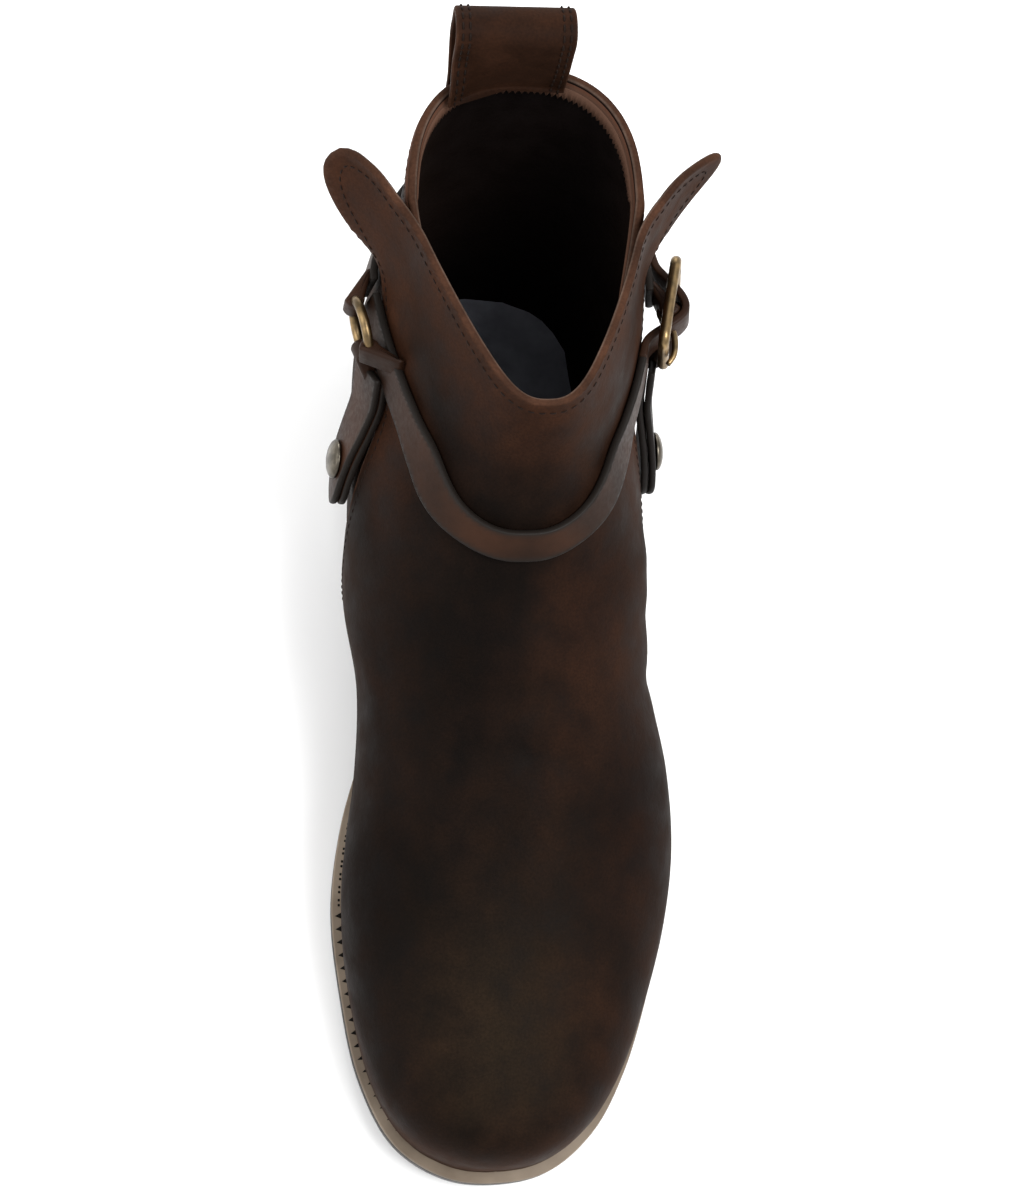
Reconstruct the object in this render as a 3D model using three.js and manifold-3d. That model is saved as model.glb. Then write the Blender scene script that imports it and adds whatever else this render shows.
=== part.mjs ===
// Jodhpur boot for the left foot, in millimetres.
// +Z is up, the toe points along -Y and the outer side of the foot is +X.
// The origin is on the floor under the middle of the heel.
import * as THREE from "three";
import { mergeVertices } from "three/addons/utils/BufferGeometryUtils.js";
import Module from "manifold-3d";

const wasm = await Module();
wasm.setup();

// Driving sizes of the boot
const length = 303;
const ballWidth = 113;
const instepHeight = 80;
const shaftHeight = 136;
const heelBack = 38;

// Sole
const heelHeight = 27;
const topPieceThickness = 6;
const heelLiftCount = 3;
const heelInset = 0.8;
const heelTaper = 0.5;
const heelBreastRadius = 70;
const heelBreastBow = 6;
const outsoleThickness = 5.5;
const toeSpring = 9;
const weltThickness = 4;
const weltWidth = 17;
const weltReveal = 5;
const heelReveal = 2.6;
const insoleThickness = 3.5;

// Upper
const wall = 2.6;
const vampStep = 1.6;
const vampSink = 0.8;
const tuckUnder = 6;
const wingSpreadInner = 19;
const wingSpreadOuter = 27.5;
const wingCurl = 2.2;
const wingBellyInner = 0.7;
const wingBellyOuter = 0;
const clearance = 0.3;
const restGap = 0.1;

// Straps, tabs and metal fittings
const strapThickness = 2.4;
const archWidth = 11;
const strapStandoff = 0.5;
const foldLeather = 1.3;
const foldReach = 8;
const ringFoldWidth = 7.4;
const heelFoldWidth = 9;
const tabWidth = 14;
const tabLength = 56;
const ringRadius = 9;
const ringWire = 1.5;
const ringTilt = 12;
const ringStandoff = 2;
const stripStart = 4.5;
const frontStripPast = 8;
const studRadius = 6.2;
const studHeight = 2.6;
const studFromTabEnd = 15;
const buckleLength = 28;
const buckleWidth = 19;
const buckleWire = 1.7;
const buckleTilt = 6;
const buckleStandoff = 3;
const barFoldWidth = 11;
const prongRadius = 1.1;
const prongLoopRadius = 1;
const tailLength = 24;
const tailStart = 2;
const archRunOut = 4;
const railFoldRoom = 1;

// Pull loop at the back of the collar
const loopCentre = -2.5;
const loopWidth = 34;
const loopThickness = 2.2;
const loopClearance = 0.6;
const loopHeight = 26.5;
const loopGap = 8;
const loopOutsideLeg = 26;
const loopInsideLeg = 2;
const loopFlattening = 14;

// Mesh fineness
const ringPoints = 28;
const surfaceRows = 33;
const outlineSamples = 240;
const soleStations = 30;
const lineSteps = 3;
const archSteps = 16;
const breastSides = 96;

// How far helper shapes reach past what they cut, and halves of a strip past their seam
const margin = 20;
const seamOverlap = 0.5;

// Plan outline of the outsole: how far along from the heel back to the toe tip, as a share
// of the length, and how far across, as a share of the ball width (outer side positive).
const soleOutline = [
  { along: 0.0, across: 0.01 },
  { along: 0.016, across: -0.17 },
  { along: 0.062, across: -0.272 },
  { along: 0.13, across: -0.302 },
  { along: 0.26, across: -0.29 },
  { along: 0.4, across: -0.293 },
  { along: 0.52, across: -0.345 },
  { along: 0.61, across: -0.418 },
  { along: 0.7, across: -0.455 },
  { along: 0.79, across: -0.44 },
  { along: 0.888, across: -0.394 },
  { along: 0.957, across: -0.305 },
  { along: 0.992, across: -0.17 },
  { along: 1.0, across: -0.03 },
  { along: 0.991, across: 0.115 },
  { along: 0.953, across: 0.252 },
  { along: 0.892, across: 0.358 },
  { along: 0.81, across: 0.447 },
  { along: 0.725, across: 0.515 },
  { along: 0.635, across: 0.547 },
  { along: 0.535, across: 0.53 },
  { along: 0.42, across: 0.462 },
  { along: 0.28, across: 0.372 },
  { along: 0.15, across: 0.315 },
  { along: 0.066, across: 0.285 },
  { along: 0.017, across: 0.185 },
];

// Sections of the foot, toe to instep. low and high are the places along the length of the
// section's ends. rise is the height of the top over the feather edge as a share of the
// instep height. The fullness beside the feather edge and the top's offset are shares of
// the ball width. widest is where up the section it is fullest.
const footSections = table(
  ["low", "high", "rise", "inner", "outer", "widest", "lowPower", "highPower", "top"],
  [
    [0.9835, 0.9835, 0.15, 0, 0, 0.4, 4, 2.6, -0.035],
    [0.981, 0.981, 0.22, 0, 0, 0.38, 4, 2.5, -0.034],
    [0.973, 0.973, 0.295, 0, 0, 0.36, 4, 2.4, -0.032],
    [0.957, 0.957, 0.355, 0.003, 0.003, 0.35, 4, 2.35, -0.03],
    [0.93, 0.93, 0.41, 0.006, 0.006, 0.34, 4, 2.3, -0.024],
    [0.885, 0.885, 0.47, 0.01, 0.01, 0.34, 4.5, 2.25, -0.014],
    [0.82, 0.82, 0.545, 0.013, 0.012, 0.34, 4.5, 2.15, -0.004],
    [0.745, 0.745, 0.625, 0.013, 0.012, 0.35, 4.5, 2.05, 0.004],
    [0.665, 0.668, 0.725, 0.013, 0.008, 0.36, 4.5, 2, 0.01],
    [0.58, 0.59, 0.845, 0.03, 0, 0.38, 4.2, 1.95, 0.015],
    [0.485, 0.513, 0.945, 0.085, -0.008, 0.4, 4, 1.9, 0.02],
  ],
);

// Sections of the leg, instep to collar. The ends lie along the length and up the shaft as a
// share of its height over the heel seat. inner and outer are the greatest half widths, and
// back and top the offsets of the ends, as shares of the ball width, and so is nose, how far
// the front is drawn back to make it round.
const legSections = table(
  [
    "low", "lowUp", "high", "highUp", "inner", "outer", "widest",
    "lowPower", "highPower", "back", "top", "nose",
  ],
  [
    [0.385, -0.1, 0.449, 0.482, 0.395, 0.438, 0.42, 4, 1.85, 0.02, 0.026, 0],
    [0.28, -0.06, 0.413, 0.56, 0.393, 0.424, 0.43, 4, 1.78, 0.01, 0.03, 0.005],
    [0.185, -0.05, 0.392, 0.628, 0.38, 0.416, 0.45, 3.8, 1.7, 0.005, 0.034, 0.012],
    [0.103, -0.06, 0.379, 0.685, 0.368, 0.412, 0.46, 3.5, 1.62, 0, 0.038, 0.022],
    [0.043, -0.045, 0.37, 0.735, 0.362, 0.41, 0.46, 2.9, 1.55, 0, 0.042, 0.034],
    [0.016, 0.035, 0.363, 0.78, 0.358, 0.41, 0.45, 2.45, 1.52, 0, 0.046, 0.043],
    [0.006, 0.165, 0.358, 0.828, 0.35, 0.406, 0.43, 2.2, 1.48, 0, 0.05, 0.05],
    [0.008, 0.31, 0.353, 0.876, 0.338, 0.396, 0.41, 2.1, 1.42, 0.004, 0.053, 0.056],
    [0.012, 0.465, 0.349, 0.925, 0.318, 0.378, 0.39, 2.1, 1.35, 0.01, 0.056, 0.06],
    [0.016, 0.64, 0.345, 0.976, 0.295, 0.354, 0.37, 2.2, 1.29, 0.016, 0.058, 0.06],
    [0.015, 0.83, 0.341, 1.035, 0.279, 0.334, 0.36, 2.3, 1.26, 0.02, 0.06, 0.06],
    [0.01, 1.03, 0.338, 1.11, 0.272, 0.325, 0.35, 2.3, 1.25, 0.022, 0.06, 0.06],
    [0.006, 1.19, 0.336, 1.2, 0.272, 0.325, 0.35, 2.3, 1.25, 0.022, 0.06, 0.06],
  ],
);

// Side view lines, along the length and up the shaft
const collarLine = [
  { along: -0.08, up: 1.02 },
  { along: 0.02, up: 1.02 },
  { along: 0.08, up: 0.99 },
  { along: 0.13, up: 0.935 },
  { along: 0.175, up: 0.87 },
  { along: 0.24, up: 0.79 },
  { along: 0.32, up: 0.73 },
  { along: 0.43, up: 0.7 },
];
const vampEdge = [
  { along: 0.46, up: -0.35 },
  { along: 0.4, up: -0.08 },
  { along: 0.35, up: 0.17 },
  { along: 0.28, up: 0.39 },
  { along: 0.205, up: 0.57 },
  { along: 0.143, up: 0.69 },
  { along: 0.095, up: 0.785 },
  { along: 0.074, up: 0.865 },
  { along: 0.076, up: 0.92 },
  { along: 0.1, up: 0.945 },
  { along: 0.15, up: 0.94 },
  { along: 0.21, up: 0.93 },
  { along: 0.275, up: 0.91 },
  { along: 0.33, up: 0.893 },
  { along: 0.4, up: 0.885 },
];

// Upper and lower edge of the ankle strap, which narrows in the side view over the instep
const strapEdges = table(
  ["along", "upper", "lower"],
  [
    [-0.08, 0.699, 0.611],
    [0.06, 0.684, 0.596],
    [0.13, 0.662, 0.574],
    [0.19, 0.643, 0.555],
    [0.24, 0.628, 0.542],
    [0.29, 0.613, 0.53],
    [0.33, 0.607, 0.53],
    [0.37, 0.592, 0.529],
    [0.41, 0.579, 0.532],
    [0.45, 0.562, 0.526],
    [0.5, 0.54, 0.508],
  ],
);
const ringPlace = { along: 0.19, up: 0.6 };
const bucklePlace = { along: 0.174, up: 0.604 };
const wingRise = { start: 0.65, full: 0.745, top: 0.93, hinge: 0.18, tip: 0.074 };
const ringRun = { heel: [1, 0.05], front: [-0.97, 0.24], tab: [-0.5, -0.86] };

// Heights and places that follow from the sizes
const seatHeight = heelHeight + outsoleThickness + weltThickness;
const flatFront = placeAlong(0.735);
const flatBack = placeAlong(0.62);
const heelBreast = placeAlong(0.238);
const wideEnough = length;

// A table of named columns, one object for each row
function table(columns, rows) {
  return rows.map((row) => Object.fromEntries(columns.map((name, i) => [name, row[i]])));
}

function placeAlong(share) {
  return heelBack - share * length;
}

function heightUp(share) {
  return seatHeight + share * shaftHeight;
}

function smooth(value) {
  const t = Math.min(1, Math.max(0, value));
  return t * t * (3 - 2 * t);
}

// Underside of the outsole: toe spring, flat forefoot, arch and level heel seat
function outsoleUnder(y) {
  if (y < flatFront) {
    const share = (flatFront - y) / (flatFront - placeAlong(1));
    return toeSpring * share * share;
  }
  return heelHeight * smooth((y - flatBack) / (heelBreast - flatBack));
}

function outsoleTop(y) {
  return outsoleUnder(y) + outsoleThickness;
}

function featherHeight(y) {
  return outsoleTop(y) + weltThickness;
}

function reveal(y) {
  const share = smooth((y - placeAlong(0.5)) / (placeAlong(0.2) - placeAlong(0.5)));
  return weltReveal + (heelReveal - weltReveal) * share;
}

// The outline moved inwards, as its two sides and its two ends
function insetOutline(insetAt) {
  const knots = soleOutline.map((row) => new THREE.Vector3(row.across * ballWidth, placeAlong(row.along), 0));
  const curve = new THREE.CatmullRomCurve3(knots, true, "centripetal");
  const samples = curve.getPoints(outlineSamples);
  const points = samples.slice(0, outlineSamples).map((point, index) => {
    const before = samples[(index + outlineSamples - 1) % outlineSamples];
    const after = samples[(index + 1) % outlineSamples];
    const direction = after.clone().sub(before).normalize();
    const inset = insetAt(point.y);
    return new THREE.Vector2(point.x - direction.y * inset, point.y + direction.x * inset);
  });
  const ends = points.map((point) => point.y);
  const crossings = (y) => {
    const found = [];
    points.forEach((a, index) => {
      const b = points[(index + 1) % points.length];
      if ((a.y - y) * (b.y - y) <= 0 && a.y !== b.y) {
        found.push(a.x + ((y - a.y) / (b.y - a.y)) * (b.x - a.x));
      }
    });
    return found;
  };
  return {
    toe: Math.min(...ends),
    heel: Math.max(...ends),
    inner: (y) => Math.min(...crossings(y)),
    outer: (y) => Math.max(...crossings(y)),
  };
}

const feather = insetOutline(reveal);

// A closed mesh through rings of equal count, with both ends closed by a fan
function loft(rings) {
  const count = rings[0].length;
  const positions = [];
  const index = [];
  rings.forEach((ring) => ring.forEach((point) => positions.push(point.x, point.y, point.z)));
  for (let i = 0; i < rings.length - 1; i += 1) {
    for (let j = 0; j < count; j += 1) {
      const a = i * count + j;
      const b = i * count + ((j + 1) % count);
      index.push(a, b, a + count, b, b + count, a + count);
    }
  }
  [0, rings.length - 1].forEach((end) => {
    const centre = rings[end].reduce((sum, point) => sum.add(point), new THREE.Vector3());
    centre.divideScalar(count);
    const hub = positions.length / 3;
    positions.push(centre.x, centre.y, centre.z);
    for (let j = 0; j < count; j += 1) {
      const a = end * count + j;
      const b = end * count + ((j + 1) % count);
      index.push(...(end === 0 ? [hub, b, a] : [hub, a, b]));
    }
  });
  const geometry = new THREE.BufferGeometry();
  geometry.setAttribute("position", new THREE.Float32BufferAttribute(positions, 3));
  geometry.setIndex(index);
  return solidFrom(geometry);
}

// A three.js geometry as a solid, turned the right way out
function solidFrom(source) {
  const plain = source.clone();
  plain.deleteAttribute("normal");
  plain.deleteAttribute("uv");
  const merged = mergeVertices(plain, 1e-4);
  const vertProperties = new Float32Array(merged.attributes.position.array);
  const triVerts = new Uint32Array(merged.index.array);
  if (signedVolume(vertProperties, triVerts) < 0) {
    for (let i = 0; i < triVerts.length; i += 3) {
      const first = triVerts[i];
      triVerts[i] = triVerts[i + 1];
      triVerts[i + 1] = first;
    }
  }
  return new wasm.Manifold(new wasm.Mesh({ numProp: 3, vertProperties, triVerts }));
}

function signedVolume(vertices, triangles) {
  const corner = (n) => new THREE.Vector3(...vertices.slice(3 * n, 3 * n + 3));
  let volume = 0;
  for (let i = 0; i < triangles.length; i += 3) {
    const [a, b, c] = [corner(triangles[i]), corner(triangles[i + 1]), corner(triangles[i + 2])];
    volume += a.dot(b.cross(c)) / 6;
  }
  return volume;
}

// A side view polygon extruded across the boot between two places
function across(points, from = -wideEnough, to = wideEnough) {
  const shape = new THREE.Shape(points.map((point) => new THREE.Vector2(point.x, point.y)));
  const geometry = new THREE.ExtrudeGeometry(shape, { depth: to - from, bevelEnabled: false });
  const axes = new THREE.Matrix4().makeBasis(
    new THREE.Vector3(0, 1, 0),
    new THREE.Vector3(0, 0, 1),
    new THREE.Vector3(1, 0, 0),
  );
  geometry.applyMatrix4(axes);
  geometry.translate(from, 0, 0);
  return solidFrom(geometry);
}

// A side view line through hand placed rows, as points (y, z)
function sideLine(rows, steps = lineSteps) {
  const knots = rows.map((row) => new THREE.Vector2(placeAlong(row.along), heightUp(row.up)));
  return new THREE.SplineCurve(knots).getPoints((rows.length - 1) * steps);
}

// A strip of even width around a side view line
function ribbon(line, width) {
  const sideOf = (sign) => line.map((point, index) => {
    const before = line[Math.max(0, index - 1)];
    const after = line[Math.min(line.length - 1, index + 1)];
    const run = after.clone().sub(before).normalize();
    return new THREE.Vector2(point.x - sign * run.y * width / 2, point.y + sign * run.x * width / 2);
  });
  return [...sideOf(1), ...sideOf(-1).reverse()];
}

// A flat layer of the sole between two height functions
function layer(outline, under, over) {
  const middle = (outline.toe + outline.heel) / 2;
  const half = (outline.heel - outline.toe) / 2 - 0.02;
  const stations = [flatFront, flatBack, heelBreast].filter((y) => Math.abs(y - middle) < half);
  for (let i = 0; i <= soleStations; i += 1) {
    stations.push(middle - half * Math.cos((Math.PI * i) / soleStations));
  }
  const rings = [];
  stations.sort((a, b) => a - b).forEach((y) => {
    const left = outline.inner(y);
    const right = outline.outer(y);
    rings.push([
      new THREE.Vector3(left, y, under(y)),
      new THREE.Vector3(right, y, under(y)),
      new THREE.Vector3(right, y, over(y)),
      new THREE.Vector3(left, y, over(y)),
    ]);
  });
  return loft(rings);
}

// One column of a section table between its rows
function column(rows, name, place) {
  const last = rows.length - 1;
  const i = Math.min(last - 1, Math.floor(place));
  const t = place - i;
  const at = (n) => rows[Math.min(last, Math.max(0, n))][name];
  const [a, b, c, d] = [at(i - 1), at(i), at(i + 1), at(i + 2)];
  return 0.5 * (2 * b + (c - a) * t + (2 * a - 5 * b + 4 * c - d) * t * t + (3 * b - a - 3 * c + d) * t ** 3);
}

// The sections in millimetres: ends in the side view, sides, and the offsets of the ends
const sections = [
  ...footSections.map((row) => {
    const lowY = placeAlong(row.low);
    const highY = placeAlong(row.high);
    const innerSide = feather.inner(Math.max(lowY, feather.toe + 0.05));
    const outerSide = feather.outer(Math.max(lowY, feather.toe + 0.05));
    return {
      lowY,
      lowZ: featherHeight(lowY) - tuckUnder,
      highY,
      highZ: featherHeight(highY) + row.rise * instepHeight,
      inner: innerSide - row.inner * ballWidth,
      outer: outerSide + row.outer * ballWidth,
      widest: row.widest,
      lowPower: row.lowPower,
      highPower: row.highPower,
      back: (innerSide + outerSide) / 2,
      top: row.top * ballWidth,
      nose: 0,
    };
  }),
  ...legSections.map((row) => ({
    lowY: placeAlong(row.low),
    lowZ: heightUp(row.lowUp),
    highY: placeAlong(row.high),
    highZ: heightUp(row.highUp),
    inner: -row.inner * ballWidth,
    outer: row.outer * ballWidth,
    widest: row.widest,
    lowPower: row.lowPower,
    highPower: row.highPower,
    back: row.back * ballWidth,
    top: row.top * ballWidth,
    nose: row.nose * ballWidth,
  })),
];

// A place up a section, drawn back near its top end so that the end is round
function noseShare(share, at) {
  const size = Math.hypot(at("highY") - at("lowY"), at("highZ") - at("lowZ"));
  return 1 - Math.hypot(1 - share, at("nose") / size);
}

// One ring of points around the upper at a place in the section table
function sectionRing(place) {
  const at = (name) => column(sections, name, place);
  const widest = at("widest");
  const offset = (share) => at("back") + (at("top") - at("back")) * share;
  const ring = [];
  for (let j = 0; j < ringPoints; j += 1) {
    const angle = (2 * Math.PI * j) / ringPoints;
    const side = angle <= Math.PI ? at("outer") : at("inner");
    const power = Math.cos(angle) > 0 ? at("lowPower") : at("highPower");
    const reach = Math.abs(Math.cos(angle)) ** (2 / power);
    const spread = Math.abs(Math.sin(angle)) ** (2 / power);
    const share = Math.cos(angle) > 0 ? widest * (1 - reach) : noseShare(widest + (1 - widest) * reach, at);
    ring.push(new THREE.Vector3(
      offset(share) + (side - offset(widest)) * spread,
      at("lowY") + (at("highY") - at("lowY")) * share,
      at("lowZ") + (at("highZ") - at("lowZ")) * share,
    ));
  }
  return ring;
}

// How far the free wings of the vamp stand out from the shaft. A wing with a belly stands out
// most a little below its top edge.
function wingLean(point, side) {
  const [spread, belly] = side > 0 ? [wingSpreadOuter, wingBellyOuter] : [wingSpreadInner, wingBellyInner];
  const [start, full, top] = [wingRise.start, wingRise.full, wingRise.top].map(heightUp);
  const [hinge, tip] = [placeAlong(wingRise.hinge), placeAlong(wingRise.tip)];
  const rise = smooth((point.z - start) / (full - start));
  const below = Math.min(1, Math.max(0, (top - point.z) / (top - full)));
  const back = Math.max(0, (point.y - hinge) / (tip - hinge));
  return spread * rise * (1 + belly * below) * back ** wingCurl;
}

// The upper's surface as rings, moved out along its normals by a distance for each point
function surfaceRings(offsetAt, lean = () => 0) {
  const base = [];
  for (let i = 0; i <= surfaceRows; i += 1) {
    const ring = sectionRing(((sections.length - 1) * i) / surfaceRows);
    base.push(ring.map((point, j) => {
      const side = j < ringPoints / 2 ? 1 : -1;
      const shift = j % (ringPoints / 2) === 0 ? 0 : side * lean(point, side);
      return point.clone().setX(point.x + shift);
    }));
  }
  return base.map((ring, i) => ring.map((point, j) => {
    const along = base[Math.min(surfaceRows, i + 1)][j].clone().sub(base[Math.max(0, i - 1)][j]);
    const round = ring[(j + 1) % ringPoints].clone().sub(ring[(j + ringPoints - 1) % ringPoints]);
    const normal = along.cross(round).normalize();
    return point.clone().addScaledVector(normal, offsetAt(point));
  }));
}

function surfaceSolid(offsetAt, lean) {
  return loft(surfaceRings(typeof offsetAt === "function" ? offsetAt : () => offsetAt, lean));
}

// The place and outward normal of the upper's surface seen from one side at (y, z)
const baseRings = surfaceRings(() => 0);
function onSurface(side, y, z) {
  const half = ringPoints / 2;
  for (let i = 0; i < baseRings.length - 1; i += 1) {
    for (let step = 0; step < half; step += 1) {
      const j = side > 0 ? step : (ringPoints - step) % ringPoints;
      const k = side > 0 ? step + 1 : ringPoints - step - 1;
      const [a, b, c, d] = [baseRings[i][j], baseRings[i][k], baseRings[i + 1][k], baseRings[i + 1][j]];
      for (const [p, q, r] of [[a, b, c], [a, c, d]]) {
        const area = (q.y - p.y) * (r.z - p.z) - (r.y - p.y) * (q.z - p.z);
        const u = ((y - p.y) * (r.z - p.z) - (r.y - p.y) * (z - p.z)) / area;
        const v = ((q.y - p.y) * (z - p.z) - (y - p.y) * (q.z - p.z)) / area;
        if (u >= 0 && v >= 0 && u + v <= 1) {
          const normal = q.clone().sub(p).cross(r.clone().sub(p)).normalize();
          if (normal.x * side < 0) normal.negate();
          return { point: new THREE.Vector3(p.x + u * (q.x - p.x) + v * (r.x - p.x), y, z), normal };
        }
      }
    }
  }
  throw new Error(`no surface at ${y}, ${z}`);
}

// A leather strip lying on the upper inside a side view shape
function strip(shape, inside, outside, from, to) {
  return surfaceSolid(outside).subtract(surfaceSolid(inside)).intersect(across(shape, from, to));
}

// Soft smooth bump, 1 at its middle and 0 beyond its reach
function bump(distance, reach) {
  return Math.abs(distance) < reach ? 0.5 + 0.5 * Math.cos((Math.PI * distance) / reach) : 0;
}

const group = new THREE.Group();

function addPiece(name, solid, finish) {
  const mesh = solid.getMesh();
  const geometry = new THREE.BufferGeometry();
  geometry.setAttribute("position", new THREE.BufferAttribute(mesh.vertProperties, 3));
  geometry.setIndex(new THREE.BufferAttribute(mesh.triVerts, 1));
  const piece = new THREE.Mesh(geometry, new THREE.MeshStandardMaterial(finish));
  piece.name = name;
  group.add(piece);
}

// Colours and finishes
const suede = { color: 0x2a1c15, roughness: 0.85, metalness: 0 };
const strapLeather = { color: 0x36251c, roughness: 0.6, metalness: 0 };
const darkLeather = { color: 0x1c1512, roughness: 0.65, metalness: 0 };
const insoleLeather = { color: 0x14141a, roughness: 0.75, metalness: 0 };
const weltLeather = { color: 0x6f6458, roughness: 0.7, metalness: 0 };
const soleLeather = { color: 0x2e2823, roughness: 0.6, metalness: 0 };
const heelRubber = { color: 0x161616, roughness: 0.8, metalness: 0 };
const brass = { color: 0x7d6a45, roughness: 0.35, metalness: 1 };
const nickel = { color: 0x8b8880, roughness: 0.3, metalness: 1 };

// Sole: outsole, welt, heel lifts, top piece and insole
const soleEdge = insetOutline(() => 0);
addPiece("outsole", layer(soleEdge, outsoleUnder, outsoleTop), soleLeather);

const weltHole = layer(insetOutline(() => weltWidth), outsoleUnder, (y) => featherHeight(y) + margin);
addPiece("welt", layer(soleEdge, outsoleTop, featherHeight).subtract(weltHole), weltLeather);

function heelBlock(bottom, top) {
  const inset = heelInset + (heelTaper * (heelHeight - bottom)) / (heelHeight / heelLiftCount);
  const block = layer(insetOutline(() => inset), () => bottom, () => top);
  const breast = new THREE.CylinderGeometry(heelBreastRadius, heelBreastRadius, heelHeight * 3, breastSides);
  breast.rotateX(Math.PI / 2);
  breast.translate(0, heelBreast - heelBreastRadius + heelBreastBow, 0);
  const front = new THREE.BoxGeometry(wideEnough, wideEnough, heelHeight * 3);
  front.translate(0, heelBreast - wideEnough / 2, 0);
  return block.subtract(solidFrom(breast)).subtract(solidFrom(front));
}
addPiece("heel_top_piece", heelBlock(0, topPieceThickness), heelRubber);
const liftThickness = (heelHeight - topPieceThickness) / heelLiftCount;
for (let i = 0; i < heelLiftCount; i += 1) {
  const bottom = topPieceThickness + i * liftThickness;
  addPiece(`heel_lift_${i + 1}`, heelBlock(bottom, bottom + liftThickness), soleLeather);
}

// Upper: quarters and shaft with the vamp laid over them as a step, its wings standing free
const belowFeather = [];
for (let i = 0; i <= soleStations; i += 1) {
  const y = heelBack + margin - ((length + 2 * margin) * i) / soleStations;
  belowFeather.push(new THREE.Vector2(y, featherHeight(y) + clearance));
}
const underFeather = across([
  ...belowFeather,
  new THREE.Vector2(placeAlong(1) - margin, -3 * margin),
  new THREE.Vector2(heelBack + margin, -3 * margin),
]);

const highAbove = heightUp(1.6);
const aboveCollar = across([
  ...sideLine(collarLine),
  new THREE.Vector2(placeAlong(0.43) - 3 * margin, heightUp(0.68)),
  new THREE.Vector2(placeAlong(0.43) - 3 * margin, highAbove),
  new THREE.Vector2(placeAlong(-0.08), highAbove),
]);
const vampShape = across([
  ...sideLine(vampEdge),
  new THREE.Vector2(placeAlong(1.2), heightUp(0.88)),
  new THREE.Vector2(placeAlong(1.2), heightUp(-0.35)),
]);
const inside = surfaceSolid(-wall);
const quarters = surfaceSolid(0).subtract(aboveCollar).subtract(inside);
const vamp = surfaceSolid(vampStep, wingLean)
  .subtract(surfaceSolid(-vampSink, wingLean))
  .intersect(vampShape);
const upper = quarters.add(vamp).subtract(underFeather);
addPiece("upper", upper, suede);

const insoleBlock = layer(
  insetOutline((y) => reveal(y) - wall + clearance * 2),
  (y) => featherHeight(y) + clearance,
  (y) => featherHeight(y) + clearance + insoleThickness,
).intersect(surfaceSolid(-wall - clearance));
addPiece("insole", insoleBlock, insoleLeather);

// The strap's outline in the side view between two places along Y
const strapUpper = sideLine(strapEdges.map((row) => ({ along: row.along, up: row.upper })));
const strapLower = sideLine(strapEdges.map((row) => ({ along: row.along, up: row.lower })));

function lineBetween(line, front, back) {
  const at = (y) => {
    const i = line.findIndex((point, n) => n > 0 && point.x <= y);
    const [a, b] = [line[i - 1], line[i]];
    return new THREE.Vector2(y, a.y + ((b.y - a.y) * (y - a.x)) / (b.x - a.x));
  };
  return [at(back), ...line.filter((point) => point.x < back && point.x > front), at(front)];
}

function strapShape(front, back, room = 0) {
  const moved = (line, up) => line.map((point) => new THREE.Vector2(point.x, point.y + up));
  const over = moved(lineBetween(strapUpper, front, back), room);
  const under = moved(lineBetween(strapLower, front, back), -room);
  return [...over, ...under.reverse()];
}

// Offsets of the leather layers from the surface of the quarters
const layerInside = vampStep + strapStandoff;
const layerOutside = layerInside + strapThickness;
const tabOutside = layerInside + 2 * strapThickness;
const heelLayerInside = clearance + restGap;
const settleLength = 20;
const sideView = (place) => new THREE.Vector2(placeAlong(place.along), heightUp(place.up));
const ringAt = sideView(ringPlace);
const buckleAt = sideView(bucklePlace);
const middle = sections[sections.length - 1].top;

// Where the heel strap has left the vamp it settles on the quarters
function heelStrapInside(point) {
  const settled = smooth((point.y - ringAt.x - ringRadius) / settleLength);
  return layerInside + (heelLayerInside - layerInside) * settled;
}

// A frame on the side of the boot: x towards the toe along the strap, y upwards, z outwards
function sideFrame(side, place, offset, direction = new THREE.Vector2(-1, 0)) {
  const { point, normal } = onSurface(side, place.x, place.y);
  const run = new THREE.Vector3(0, direction.x, direction.y);
  run.addScaledVector(normal, -run.dot(normal)).normalize();
  const up = normal.clone().cross(run);
  const matrix = new THREE.Matrix4().makeBasis(run, up, normal);
  return matrix.setPosition(point.clone().addScaledVector(normal, offset));
}

// The end of a strip folded around a wire of the fitting. The frame's x leads away from the
// wire and its y lies along the wire.
function fold(frame, outer, reach, width, tail) {
  const shape = new THREE.Shape();
  shape.moveTo(reach, tail.low);
  shape.lineTo(0, -outer);
  shape.absarc(0, 0, outer, -Math.PI / 2, Math.PI / 2, true);
  shape.lineTo(reach, tail.high);
  const geometry = new THREE.ExtrudeGeometry(shape, { depth: width, bevelEnabled: false, curveSegments: 6 });
  geometry.translate(0, 0, -width / 2);
  geometry.rotateX(Math.PI / 2);
  geometry.applyMatrix4(frame);
  return solidFrom(geometry);
}

function placed(geometry, frame) {
  geometry.applyMatrix4(frame);
  return solidFrom(geometry);
}

const rodSides = 7;
function rod(from, to, radius) {
  const run = to.clone().sub(from);
  const geometry = new THREE.CylinderGeometry(radius, radius, run.length(), rodSides);
  const turn = new THREE.Quaternion().setFromUnitVectors(new THREE.Vector3(0, 1, 0), run.clone().normalize());
  geometry.applyQuaternion(turn);
  geometry.translate(...from.clone().add(to).multiplyScalar(0.5).toArray());
  return solidFrom(geometry);
}

// Medial ring that joins the front strap, the heel strap and the tab
const ringOffset = layerOutside + clearance + ringWire + ringStandoff;
const ringFrame = sideFrame(-1, ringAt, ringOffset)
  .multiply(new THREE.Matrix4().makeRotationX(THREE.MathUtils.degToRad(ringTilt)));
const ring = placed(new THREE.TorusGeometry(ringRadius, ringWire, 8, 24), ringFrame);
const ringRoom = placed(new THREE.TorusGeometry(ringRadius, ringWire + clearance, 8, 24), ringFrame);
addPiece("medial_ring", ring, brass);

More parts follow.
